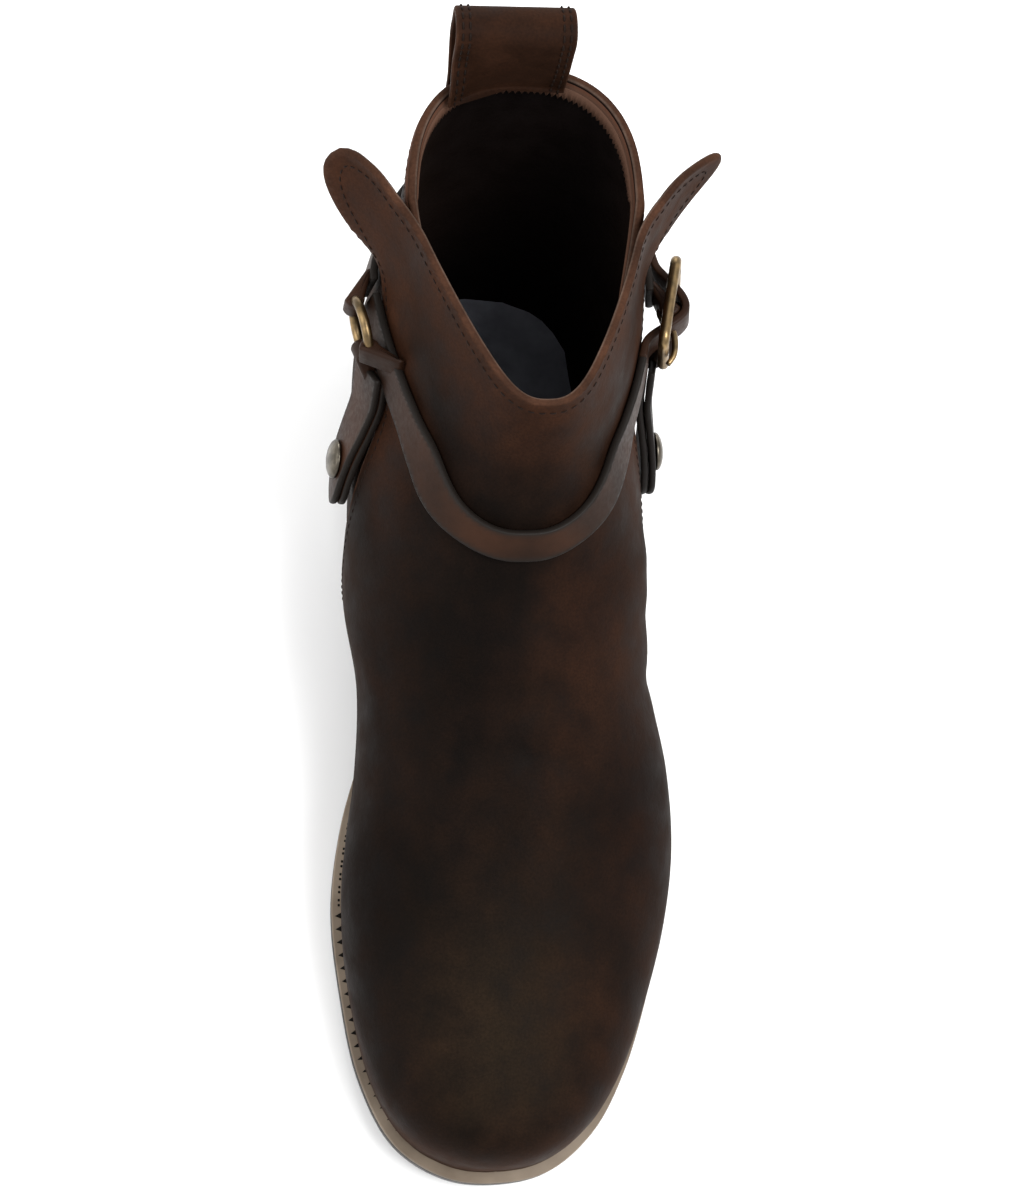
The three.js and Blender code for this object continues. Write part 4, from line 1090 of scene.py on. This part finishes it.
def rounded_rectangle(width, height, radius, steps=4):
    ring = []
    for corner, (sx, sy) in enumerate(((1, 1), (-1, 1), (-1, -1), (1, -1))):
        for k in range(steps + 1):
            angle = math.pi / 2 * (corner + k / steps)
            ring.append((
                sx * (width / 2 - radius) + radius * math.cos(angle),
                sy * (height / 2 - radius) + radius * math.sin(angle),
            ))
    return np.array(ring)


def prism(profile, width, bevel, matrix):
    """A side profile (x, z) given a width along y, with rounded edges."""
    ahead = np.roll(profile, -1, axis=0)
    area = np.sum(profile[:, 0] * ahead[:, 1] - ahead[:, 0] * profile[:, 1])
    profile = profile if area > 0 else profile[::-1]
    rings = []
    for end in (-1, 1):
        for k in range(BEVEL_STEPS + 1)[::-end]:
            angle = math.pi / 2 * k / BEVEL_STEPS
            line = inset_line(profile, np.full(len(profile), bevel * (1 - math.sin(angle))))
            place = end * (width / 2 - bevel * (1 - math.cos(angle)))
            rings.append(np.column_stack([line[:, 0], np.full(len(line), place), line[:, 1]]))
    verts, faces = join_rings(rings)
    return to_frame(matrix, verts), faces


def fold_part(matrix, outer, width, low, high):
    """The end of a strap folded round a bar, down to its lower and upper level at the reach."""
    angles = np.linspace(-math.pi / 2, -3 * math.pi / 2, 15)
    arc = np.column_stack([outer * np.cos(angles), outer * np.sin(angles)])
    upper_run = np.linspace((0, outer), (FOLD_REACH, high), 6)[1:]
    lower_run = np.linspace((FOLD_REACH, low), (0, -outer), 6)[:-1]
    return prism(np.vstack([lower_run, arc, upper_run]), width, FOLD_BEVEL, matrix)


def ring_wire_frame(heelward, upward):
    """A frame on the ring's wire, with x pulling away from the ring's middle."""
    angle = math.degrees(math.atan2(upward, -heelward))
    return moved(turned(ring_frame, angle, "Z"), x=RING_RADIUS)


# Straps
STRAP_EDGE = {"bulge": 0.5, "edge_width": 1.3}
BEHIND_RING = 3.4
SETTLE_LENGTH = 20
TAIL = {"start": 2, "end": 24, "round": 6}
ARCH = {"past": 4, "steps": 49, "width": 11.4, "round": 0.7}
FOLD_SINK = {"low": 0.2, "high": 0.15}
FOLD_WIDTH = {"ring_heel": 9.6, "bar": 11, "ring_front": 8, "ring_tab": 8}
REST = 0.1


def strap_band(data):
    y, z = data[:, 1], data[:, 2]
    return np.minimum(z - on_curve(strap_lower, y), on_curve(strap_upper, y) - z)


def heel_layer(y):
    """The heel strap lies higher at the fittings, over the vamp's step."""
    settled = smooth((y - RING_Y - RING_RADIUS) / SETTLE_LENGTH)
    return LAYER_IN + (GAP + REST - LAYER_IN) * settled


def behind_fittings(data):
    limit = np.where(data[:, 0] < 0, RING_Y + RING_RADIUS + BEHIND_RING, BUCKLE_Y + STRIP_START)
    return data[:, 1] - limit


def before_fittings(data):
    limit = np.where(data[:, 0] < 0, RING_Y + FRONT_STRIP_PAST, BUCKLE_Y - HALF_LONG)
    return limit - data[:, 1]


near_strap = plain_tris[strap_band(plain_data)[plain_tris].max(axis=1) > -3]


def add_strap(name, node, sheet, inside):
    """A strap over the upper, at one inner level or at one for each point of its sheet."""
    inside = np.broadcast_to(inside, len(sheet[0]))[:, None]
    add_sheet(name, sheet, inside + STRAP, inside, "strap_leather", node, **STRAP_EDGE)


def tail_shape(data):
    y, z = data[:, 1], data[:, 2]
    half = (on_curve(strap_upper, y) - on_curve(strap_lower, y)) / 2
    past = np.clip(y - (TAIL_END - TAIL["round"]), 0, None)
    round_end = half - np.hypot(past, z - on_curve(strap_middle, y))
    outer_side = np.where(data[:, 0] > 0, FAR_OFF, -FAR_OFF)
    return np.minimum(np.minimum(round_end, y - TAIL_START), outer_side)


TAIL_START = BUCKLE_Y + HALF_LONG + TAIL["start"]
TAIL_END = BUCKLE_Y + HALF_LONG + TAIL["end"]
heel_sheet = cut_sheet(plain_data, near_strap, [strap_band, behind_fittings])
add_strap("heel_strap_band", "heel_strap", heel_sheet, heel_layer(heel_sheet[0][:, 1]))
front_sheet = cut_sheet(plain_data, near_strap, [strap_band, before_fittings])
add_strap("front_strap_band", "front_strap", front_sheet, LAYER_IN)
tail_sheet = cut_sheet(plain_data, near_strap, [tail_shape])
add_strap("strap_tail", "front_strap", tail_sheet, heel_layer(tail_sheet[0][:, 1]) + STRAP + GAP)

ring_heel_frame = ring_wire_frame(1, 0.05)
ring_front_frame = ring_wire_frame(-0.97, 0.24)
ring_tab_frame = ring_wire_frame(-0.5, -0.86)
bar_frame = turned(buckle_frame, 180, "Z")
ring_fold_outer = RING_WIRE + GAP + FOLD
bar_fold_outer = BUCKLE_WIRE + GAP + FOLD


def strap_fold(side, matrix, outer, width, top_offset):
    """A fold whose two ends run onto the strap's layers over the upper."""
    low = level_at(side, matrix, FOLD_REACH, LAYER_IN + FOLD_SINK["low"])
    high = level_at(side, matrix, FOLD_REACH, top_offset - FOLD_SINK["high"])
    return fold_part(matrix, outer, width, low, high)


heel_verts, heel_faces = several([
    strap_fold(-1, ring_heel_frame, ring_fold_outer, FOLD_WIDTH["ring_heel"], LAYER_OUT),
    strap_fold(1, bar_frame, bar_fold_outer, FOLD_WIDTH["bar"], LAYER_OUT),
])
add_mesh("heel_strap_folds", heel_verts, heel_faces, "strap_leather", "heel_strap")

half_strap = STRAP / 2
arch_top = bar_fold_outer + GAP + REST + half_strap
arch_line = []
for x in np.linspace(-HALF_LONG - ARCH["past"], HALF_LONG + ARCH["past"], ARCH["steps"]):
    rest = (LAYER_IN if x > 0 else LAYER_OUT + GAP) + half_strap
    level = level_at(1, buckle_frame, x, rest)
    rise = 0.5 + 0.5 * math.cos(math.pi * x / HALF_LONG) if abs(x) < HALF_LONG else 0
    arch_line.append((x, level + (arch_top - level) * rise))
arch_line = np.array(arch_line)
arch_run = unit(np.gradient(arch_line, axis=0))
arch_section = rounded_rectangle(ARCH["width"], STRAP, ARCH["round"])
arch_rings = [
    [(x - dz * b, a, z + dx * b) for a, b in arch_section]
    for (x, z), (dx, dz) in zip(arch_line, arch_run)
]
arch_verts, arch_faces = join_rings(arch_rings)
front_verts, front_faces = several([
    (to_frame(buckle_frame, arch_verts), arch_faces),
    strap_fold(-1, ring_front_frame, ring_fold_outer, FOLD_WIDTH["ring_front"], LAYER_OUT),
])
add_mesh("front_strap_arch", front_verts, front_faces, "strap_leather", "front_strap")


# Tabs that hang from the ring and from the buckle, doubled and round at the end
TAB_RUN = unit(np.array([-0.5, -0.86]))
UNDER_LAYER = 2.3
STUD_RADIUS = 6.2
STUD_HEIGHT = 2.6
STUD_FROM_END = 15
STUD_SIDES = 40
# The stud's profile: out as a share of its radius, up as a share of its height
STUD_PROFILE = (
    (0.99, 0.0), (1.0, 0.12), (0.985, 0.3), (0.9, 0.52), (0.72, 0.75), (0.5, 0.9), (0.25, 0.98), (0.02, 1.0),
)


def tab_sheet(side, start):
    first = start + TAB_RUN * STRIP_START
    centre = start + TAB_RUN * (TAB_LENGTH - TAB_WIDTH / 2)

    def inside_tab(data):
        gap = data[:, 1:3] - first
        ahead = gap @ TAB_RUN
        reach = np.clip(ahead, 0, (centre - first) @ TAB_RUN)
        round_shape = TAB_WIDTH / 2 - np.linalg.norm(gap - reach[:, None] * TAB_RUN, axis=1)
        right_side = np.where(data[:, 0] * side > 0, FAR_OFF, -FAR_OFF)
        return np.minimum(np.minimum(round_shape, ahead + 0.01), right_side)

    fine = plain_tris[inside_tab(plain_data)[plain_tris].max(axis=1) > -4]
    data, tris = split_finer(plain_data, fine)
    return cut_sheet(data, tris, [inside_tab])


def split_finer(data, tris):
    """Each triangle as four."""
    made, extra = {}, []

    def middle(a, b):
        key = (min(a, b), max(a, b))
        if key not in made:
            extra.append((data[a] + data[b]) / 2)
            made[key] = len(data) + len(extra) - 1
        return made[key]

    fresh = []
    for a, b, c in tris.tolist():
        ab, bc, ca = middle(a, b), middle(b, c), middle(c, a)
        fresh += [(a, ab, ca), (ab, b, bc), (ca, bc, c), (ab, bc, ca)]
    return np.vstack([data, extra]), np.array(fresh)


def beside_front_strap(data):
    return -strap_band(data) - GAP


def add_tab(name, side, matrix, fold_width, fold_outer, leather):
    start = matrix[1:3, 3]
    sheet = tab_sheet(side, start)
    under_sheet = cut_sheet(*sheet, [beside_front_strap]) if side < 0 else sheet
    layers = (
        ("under", under_sheet, LAYER_IN + UNDER_LAYER, LAYER_IN),
        ("top", sheet, TAB_OUT, LAYER_OUT + GAP),
    )
    for layer_name, layer_sheet, high, low in layers:
        add_sheet(f"{name}_{layer_name}", layer_sheet, high, low, leather, name, bulge=0.5, edge_width=1.4)
    fold_verts, fold_faces = strap_fold(side, matrix, fold_outer, fold_width, TAB_OUT)
    add_mesh(f"{name}_fold", fold_verts, fold_faces, leather, name)
    y, z = start + TAB_RUN * (TAB_LENGTH - STUD_FROM_END)
    stud_frame = side_frame(side, y, z, TAB_OUT + GAP)
    angles = np.arange(STUD_SIDES) * 2 * math.pi / STUD_SIDES
    circle = np.column_stack([np.cos(angles), np.sin(angles), 0 * angles])
    up = np.array([0, 0, STUD_HEIGHT])
    rings = [circle * STUD_RADIUS * out + up * rise for out, rise in STUD_PROFILE]
    stud_verts, stud_faces = join_rings(rings)
    stud = name.replace("tab", "stud")
    add_mesh(f"{stud}_cap", to_frame(stud_frame, stud_verts), stud_faces, "nickel", stud)


add_tab("medial_tab", -1, ring_tab_frame, FOLD_WIDTH["ring_tab"], ring_fold_outer, "strap_leather")
rail_frame = turned(moved(buckle_frame, x=HALF_LONG / 2, y=HALF_WIDE), 90, "Z")
rail_fold_width = HALF_LONG - 2 * BUCKLE_WIRE - 1
add_tab("lateral_tab", 1, rail_frame, rail_fold_width, bar_fold_outer, "dark_leather")

# Metal ring, buckle and prong
WIRE_STEPS = 96
WIRE_SIDES = 16
WIRE_SPACING = 0.8
BUCKLE_CORNER = 2.6
PRONG_SIDES = 12
PRONG_RADII = (1.15, 0.85)
PRONG_LOOP_RADIUS = 1.0
PRONG_LIFT = 1.1
# The prong's line: along as a share of the buckle's half length, up as a share of its rise
PRONG_BENDS = ((0.22, 0.13), (0.62, 0.9), (1.0, 1.035), (1.236, 0.6))

turn = np.arange(WIRE_STEPS) * 2 * math.pi / WIRE_STEPS
circle = np.column_stack([RING_RADIUS * np.cos(turn), RING_RADIUS * np.sin(turn), 0 * turn])
ring_verts, ring_faces = tube(circle, RING_WIRE, WIRE_SIDES, closed=True)
add_mesh("ring_wire", to_frame(ring_frame, ring_verts), ring_faces, "brass", "medial_ring")

corner_line = rounded_rectangle(2 * HALF_LONG, 2 * HALF_WIDE, BUCKLE_CORNER, 6)
buckle_loop = np.vstack([corner_line, corner_line[:1]])
buckle_loop = resample(np.column_stack([buckle_loop, np.zeros(len(buckle_loop))]), WIRE_SPACING)[:-1]
bar_line = np.linspace((0, HALF_WIDE, 0), (0, -HALF_WIDE, 0), 12)
buckle_verts, buckle_faces = several([
    tube(buckle_loop, BUCKLE_WIRE, WIRE_SIDES, closed=True),
    tube(bar_line, BUCKLE_WIRE, WIRE_SIDES),
])
add_mesh("buckle_frame", to_frame(buckle_frame, buckle_verts), buckle_faces, "brass", "buckle")

prong_over = BUCKLE_WIRE + GAP + PRONG_LIFT
prong_knots = [(along * HALF_LONG, 0, rise * prong_over) for along, rise in PRONG_BENDS]
prong_line = resample(spline(prong_knots, 8), WIRE_SPACING)
loop_turn = turn[::3]
loop_line = np.column_stack([prong_over * np.cos(loop_turn), 0 * loop_turn, prong_over * np.sin(loop_turn)])
prong_verts, prong_faces = several([
    tube(prong_line, np.linspace(*PRONG_RADII, len(prong_line)), PRONG_SIDES),
    tube(loop_line, PRONG_LOOP_RADIUS, PRONG_SIDES, closed=True),
])
add_mesh("prong_arm", to_frame(buckle_frame, prong_verts), prong_faces, "brass", "buckle_prong")

# Pull loop at the back of the collar
LOOP_CENTRE = -2.5
LOOP_WIDTH = 34.0
LOOP_THICK = 2.2
LOOP_HEIGHT = 26.5
LOOP_ROUND = 0.7
LOOP_OUTER_FOOT = 26
LOOP_INNER_FOOT = 2
LOOP_STRAIGHTENS = 14
LOOP_OFF_WALL = 0.6
LOOP_SPREAD = 4.0
LOOP_COLUMNS = 30
LOOP_STITCH_ROWS = (1.9, 3.9)
# The loop's bulge and the height where it has it, as shares
LOOP_BULGE = ((0, 0.02), (0.55, 0.22), (0.95, 0.42), (1, 0.66), (0.75, 0.88))
COLLAR_TOP = height_up(1.02)
leg_out = WALL / 2 + LOOP_OFF_WALL + LOOP_THICK / 2
bulge_out = LOOP_SPREAD + LOOP_THICK / 2


def loop_side(sign, foot):
    rows = [(sign * leg_out, foot)]
    for bulge, up in LOOP_BULGE:
        rows.append((sign * (leg_out + (bulge_out - leg_out) * bulge), COLLAR_TOP + up * LOOP_HEIGHT))
    return rows


loop_knots = loop_side(1, COLLAR_TOP - LOOP_OUTER_FOOT)
loop_knots.append((0, COLLAR_TOP + LOOP_HEIGHT - LOOP_THICK / 2))
loop_knots += loop_side(-1, COLLAR_TOP - LOOP_INNER_FOOT)[::-1]
loop_curve = spline(loop_knots, 10)
loop_curve = resample(np.column_stack([loop_curve, np.zeros(len(loop_curve))]), 1.0)[:, :2]
loop_run = unit(np.gradient(loop_curve, axis=0))
loop_normal = np.column_stack([loop_run[:, 1], -loop_run[:, 0]])

collar_row = section_at(np.array([LAST - 1.0]))
half_angles = np.linspace(0, math.pi, 241)
collar_ring = np.vstack([half_ring(collar_row, outer, half_angles)[0] for outer in (True, False)])
collar_back = collar_ring[collar_ring[:, 1] > 0]
collar_back = collar_back[np.argsort(collar_back[:, 0])]
leg_rows = SECTIONS[SECTIONS[:, 1] > SEAT_HEIGHT]


def back_line(z):
    return np.interp(z, leg_rows[:, 1], leg_rows[:, 0])


def collar_bend(x):
    return np.interp(x, collar_back[:, 0], collar_back[:, 1]) - back_line(SECTIONS[LAST - 1, 1])


def loop_point(a, out, z):
    """A place on the pull loop: a across it, out from the wall's middle and up."""
    x = LOOP_CENTRE + a
    flat = collar_bend(LOOP_CENTRE + LOOP_WIDTH / 4)
    curved = 1 - smooth((z - COLLAR_TOP) / LOOP_STRAIGHTENS)
    slope = collar_bend(x + 0.5) - collar_bend(x - 0.5)
    stretch = 1 + (math.hypot(1, slope) - 1) * curved
    bend = flat + (collar_bend(x) - flat) * curved
    return np.array([x, back_line(min(z, COLLAR_TOP)) + bend + (out - WALL / 2) * stretch, z])


# The loop's section, with points added along its two flat faces
loop_section = rounded_rectangle(LOOP_WIDTH, LOOP_THICK, LOOP_ROUND)
flat_run = np.linspace(1, -1, LOOP_COLUMNS)[1:-1] * (LOOP_WIDTH / 2 - LOOP_ROUND)
top_run = [(a, LOOP_THICK / 2) for a in flat_run]
low_run = [(a, -LOOP_THICK / 2) for a in flat_run[::-1]]
loop_section = np.vstack([loop_section[:5], top_run, loop_section[5:15], low_run, loop_section[15:]])
loop_rings = [
    [loop_point(a, out + nx * b, z + nz * b) for a, b in loop_section]
    for (out, z), (nx, nz) in zip(loop_curve, loop_normal)
]
loop_verts, loop_faces = join_rings(loop_rings)
edge_share = np.where(np.abs(loop_section[:, 0]) > LOOP_WIDTH / 2 - 0.5, 0.6, 0.0)
loop_rim = np.append(np.tile(edge_share, len(loop_curve)), [0, 0])
loop_attributes = {"rim": loop_rim, "warm": np.full(len(loop_verts), 0.5)}
add_mesh("pull_loop_strip", loop_verts, loop_faces, "nubuck", "pull_loop", loop_attributes)


def loop_face_line(across, face):
    """Points and normals up one face of the loop and down again."""
    rows = []
    shift = face * LOOP_THICK / 2
    for (out, z), (nx, nz) in zip(loop_curve, loop_normal):
        here = loop_point(across, out + nx * shift, z + nz * shift)
        beyond = loop_point(across, out + nx * (shift + face), z + nz * (shift + face))
        rows.append(np.concatenate([here, unit(beyond - here)]))
    return np.array(rows)


for side in (-1, 1):
    for inset in LOOP_STITCH_ROWS:
        for face in (-1, 1):
            line = loop_face_line(side * (LOOP_WIDTH / 2 - inset), face)
            seam_parts += stitches(line, offset=0.0, pitch=3.0, length=2.2, radius=0.34)
add_mesh("seam_threads", *several(seam_parts), "waxed_thread")


# Sole: welt, outsole, heel
WELT_WIDTH = 17.0
WELT_ROUND = 0.45
SOLE_ROUND = 0.8
SOLE_STATIONS = 220
LIFT_BEVEL = 0.45
LIFT_SPACING = 1.5
LIFT_INSET = 0.8
LIFT_TAPER = 0.5
BREAST_BOW = 6
BREAST_POINTS = 40


def welt_ring(index):
    across = outline_normal[index]
    point = outline[index]
    rows = []
    for a, b in rounded_rectangle(WELT_WIDTH, 1.0, WELT_ROUND):
        place = point + across * (WELT_WIDTH / 2 - a)
        low, high = outsole_top(place[1]), feather_height(place[1])
        rows.append((place[0], place[1], low + (high - low) * (b + 0.5)))
    return rows


outline_run = unit(np.roll(outline, -1, axis=0) - np.roll(outline, 1, axis=0))
outline_normal = np.column_stack([-outline_run[:, 1], outline_run[:, 0]])
welt_verts, welt_faces = join_rings([welt_ring(k) for k in range(len(outline))], closed_run=True)
add_mesh("welt_strip", welt_verts, welt_faces, "welt_leather", "welt")

inner_side, outer_side = sides(outline)
heel_end, toe_end = outline[:, 1].max(), outline[:, 1].min()
half_reach = (heel_end - toe_end - 0.04) / 2
sole_rings = []
for y in (heel_end + toe_end) / 2 - half_reach * np.cos(np.linspace(0, math.pi, SOLE_STATIONS)):
    left, right = inner_side(y), outer_side(y)
    width = max(right - left, 3 * SOLE_ROUND)
    low, high = float(outsole_under(y)), float(outsole_top(y))
    ring = rounded_rectangle(width, high - low, SOLE_ROUND)
    place = ((left + right) / 2, y, (low + high) / 2)
    sole_rings.append(place + np.column_stack([ring[:, 0], np.zeros(len(ring)), ring[:, 1]]))
outsole_verts, outsole_faces = join_rings(sole_rings)
add_mesh("outsole_block", outsole_verts, outsole_faces, "sole_leather", "outsole")


def heel_plan(bottom):
    """A lift's outline: smaller further down, with a bowed front."""
    inset = LIFT_INSET + LIFT_TAPER * (HEEL_HEIGHT - bottom) / (HEEL_HEIGHT / HEEL_LIFTS)
    line = inset_line(outline, np.full(len(outline), inset))
    centre = HEEL_BREAST - HEEL_BREAST_RADIUS + BREAST_BOW

    def breast(x):
        return np.maximum(HEEL_BREAST, centre + np.sqrt(HEEL_BREAST_RADIUS ** 2 - x ** 2))

    behind = line[:, 1] > breast(line[:, 0])
    first = int(np.argmin(behind))
    line, behind = np.roll(line, -first, axis=0), np.roll(behind, -first)
    kept = line[behind]
    across = np.linspace(kept[-1, 0], kept[0, 0], BREAST_POINTS)[1:-1]
    return np.vstack([kept, np.column_stack([across, breast(across)])])


def resample_flat(line, spacing):
    return resample(np.column_stack([line, np.zeros(len(line))]), spacing)[:, :2]


def add_lift(name, bottom, top, finish):
    plan = resample_flat(heel_plan(bottom), LIFT_SPACING)
    rings = []
    for share in (0.0, 0.3, 0.7, 1.0):
        angle = math.pi / 2 * share
        rings.append((LIFT_BEVEL * (1 - math.sin(angle)), bottom + LIFT_BEVEL * (1 - math.cos(angle))))
    rings += [(inset, bottom + top - z) for inset, z in rings[::-1]]
    lines = []
    for inset, z in rings:
        line = inset_line(plan, np.full(len(plan), inset))
        lines.append(np.column_stack([line, np.full(len(line), z)]))
    verts, faces = join_rings(lines, caps=False)
    count = len(plan)
    faces += [tuple(range(count)), tuple(range((len(lines) - 1) * count, len(lines) * count))]
    add_mesh(f"{name}_block", verts, faces, finish, name)


add_lift("heel_top_piece", 0.0, TOP_PIECE, "heel_rubber")
lift = (HEEL_HEIGHT - TOP_PIECE) / HEEL_LIFTS
for k in range(HEEL_LIFTS):
    bottom = TOP_PIECE + k * lift
    add_lift(f"heel_lift_{k + 1}", bottom, bottom + lift, "sole_leather")

# Notches and pricked holes along the welt beside the upper, as prisms painted with the shade a hole holds,
# in millimetres out and along
NOTCH = ((-1.2, -1.3), (1.5, 0.0), (-1.2, 1.3))
HOLE = ((-0.35, -0.3), (0.0, -0.45), (0.35, -0.3), (0.35, 0.3), (0.0, 0.45), (-0.35, 0.3))
NOTCH_OUT = 0.9
HOLE_OUT = 2.7
HOLE_SHIFTS = (-0.8, 0.8)
MARK_SPACING = 4.2
MARK_HEIGHTS = (0.1, -0.6)
# Where the marks lie: inner side across, and places along the length from the heel
INNER_SIDE = -2
NOTCHES_FROM = 0.7
INNER_HOLES_FROM = 0.56
OUTER_HOLES_FROM = 0.86


def mark(place, outward, shape, top):
    """A prism painted near-black as the shade of a hole or notch, standing a little out of the welt's top.
    """
    sideways = np.array([-outward[1], outward[0]])
    points = []
    for height in (top + rise for rise in MARK_HEIGHTS):
        for out, along in shape:
            spot = place + outward * out + sideways * along
            points.append((spot[0], spot[1], height))
    return join_rings([points[:len(shape)], points[len(shape):]])


mark_line = resample_flat(feather_line, MARK_SPACING)
marks = []
for place, ahead in zip(mark_line, np.roll(mark_line, -1, axis=0)):
    run = unit(ahead - place)
    outward = np.array([run[1], -run[0]])
    along = (HEEL_BACK - place[1]) / LENGTH
    top = float(feather_height(place[1]))
    inner = place[0] < INNER_SIDE
    if inner and along > NOTCHES_FROM:
        marks.append(mark(place + outward * (VAMP_STEP + NOTCH_OUT), outward, NOTCH, top))
    elif along > (INNER_HOLES_FROM if inner else OUTER_HOLES_FROM):
        for shift in HOLE_SHIFTS:
            marks.append(mark(place + outward * HOLE_OUT + run * shift, outward, HOLE, top))
add_mesh("welt_marks", *several(marks), "hole_dark")

# The insole keeps its imported solid, with its edge rounded; its colour is painted light, much lighter than
# its dark navy leather, against the shade inside the boot
INSOLE_ROUND = 0.8
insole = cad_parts["insole"]
insole.data.materials.clear()
insole.data.materials.append(finishes["insole_leather"][0])
round_edge = insole.modifiers.new("edge", "BEVEL")
round_edge.width = INSOLE_ROUND * MM
round_edge.segments = 3

# Floor and light
FLOOR_REACH = 3.0
floor_material, _, _, floor_shader = new_material("pale_floor")
floor_shader.inputs["Base Color"].default_value = (0.93, 0.93, 0.93, 1)
floor_shader.inputs["Roughness"].default_value = 0.7
floor_mesh = bpy.data.meshes.new("floor")
floor_corners = [(x * FLOOR_REACH, y * FLOOR_REACH, 0) for x, y in ((-1, -1), (1, -1), (1, 1), (-1, 1))]
floor_mesh.from_pydata(floor_corners, [], [(0, 1, 2, 3)])
floor = bpy.data.objects.new("floor", floor_mesh)
floor.data.materials.append(floor_material)
bpy.context.scene.collection.objects.link(floor)

world = bpy.data.worlds.new("studio")
bpy.context.scene.world = world
world.use_nodes = True
world.node_tree.nodes["Background"].inputs["Color"].default_value = (1, 1, 1, 1)
world.node_tree.nodes["Background"].inputs["Strength"].default_value = 0.9

# Lights, in metres and watts, all turned to the middle of the boot
LIGHT_AIM = Vector((0, -0.1, 0.06))
LIGHT_COLUMNS = ("name", "place", "size", "power")
LIGHTS = (
    ("key", (0.45, -0.35, 1.1), 0.5, 11.0),
    ("fill", (-0.9, -0.2, 0.8), 0.9, 6.0),
    ("back", (0.1, 1.0, 0.7), 0.7, 6.0),
)
for row in LIGHTS:
    light = dict(zip(LIGHT_COLUMNS, row))
    lamp = bpy.data.lights.new(light["name"], "AREA")
    lamp.shape = "SQUARE"
    lamp.size = light["size"]
    lamp.energy = light["power"]
    holder = bpy.data.objects.new(light["name"], lamp)
    holder.location = light["place"]
    toward = LIGHT_AIM - Vector(light["place"])
    holder.rotation_euler = toward.to_track_quat("-Z", "Y").to_euler()
    bpy.context.scene.collection.objects.link(holder)

# Camera where the photographer stood, turned to the one boot: the turn is that of the boot's
# middle in the photo, in its pixels, over the focal length in the same unit
BOOT_OFFSET = 293
PHOTO_FOCAL = 2150
CAMERA_PLACE = (-0.0899, -0.308, 0.7048)
CAMERA_DOWN = (0.0057, 0.3255, -0.9455)
CAMERA_ROLL = math.radians(-1.0)
TURN_TO_BOOT = math.atan(BOOT_OFFSET / PHOTO_FOCAL)
FOCAL = 64.5
right = Vector((math.cos(CAMERA_ROLL), math.sin(CAMERA_ROLL), 0))
ahead = Vector(CAMERA_DOWN).normalized()
right = (right - ahead * right.dot(ahead)).normalized()
up = right.cross(ahead)
aimed = (ahead * math.cos(TURN_TO_BOOT) + right * math.sin(TURN_TO_BOOT)).normalized()
right = aimed.cross(up).normalized()
camera_data = bpy.data.cameras.new("camera")
camera_data.lens = FOCAL
camera_data.sensor_width = 36
camera = bpy.data.objects.new("camera", camera_data)
camera.matrix_world = Matrix((
    (right.x, up.x, -aimed.x, CAMERA_PLACE[0]),
    (right.y, up.y, -aimed.y, CAMERA_PLACE[1]),
    (right.z, up.z, -aimed.z, CAMERA_PLACE[2]),
    (0, 0, 0, 1),
))
bpy.context.scene.collection.objects.link(camera)
bpy.context.scene.camera = camera
bpy.context.scene.view_settings.view_transform = "Standard"
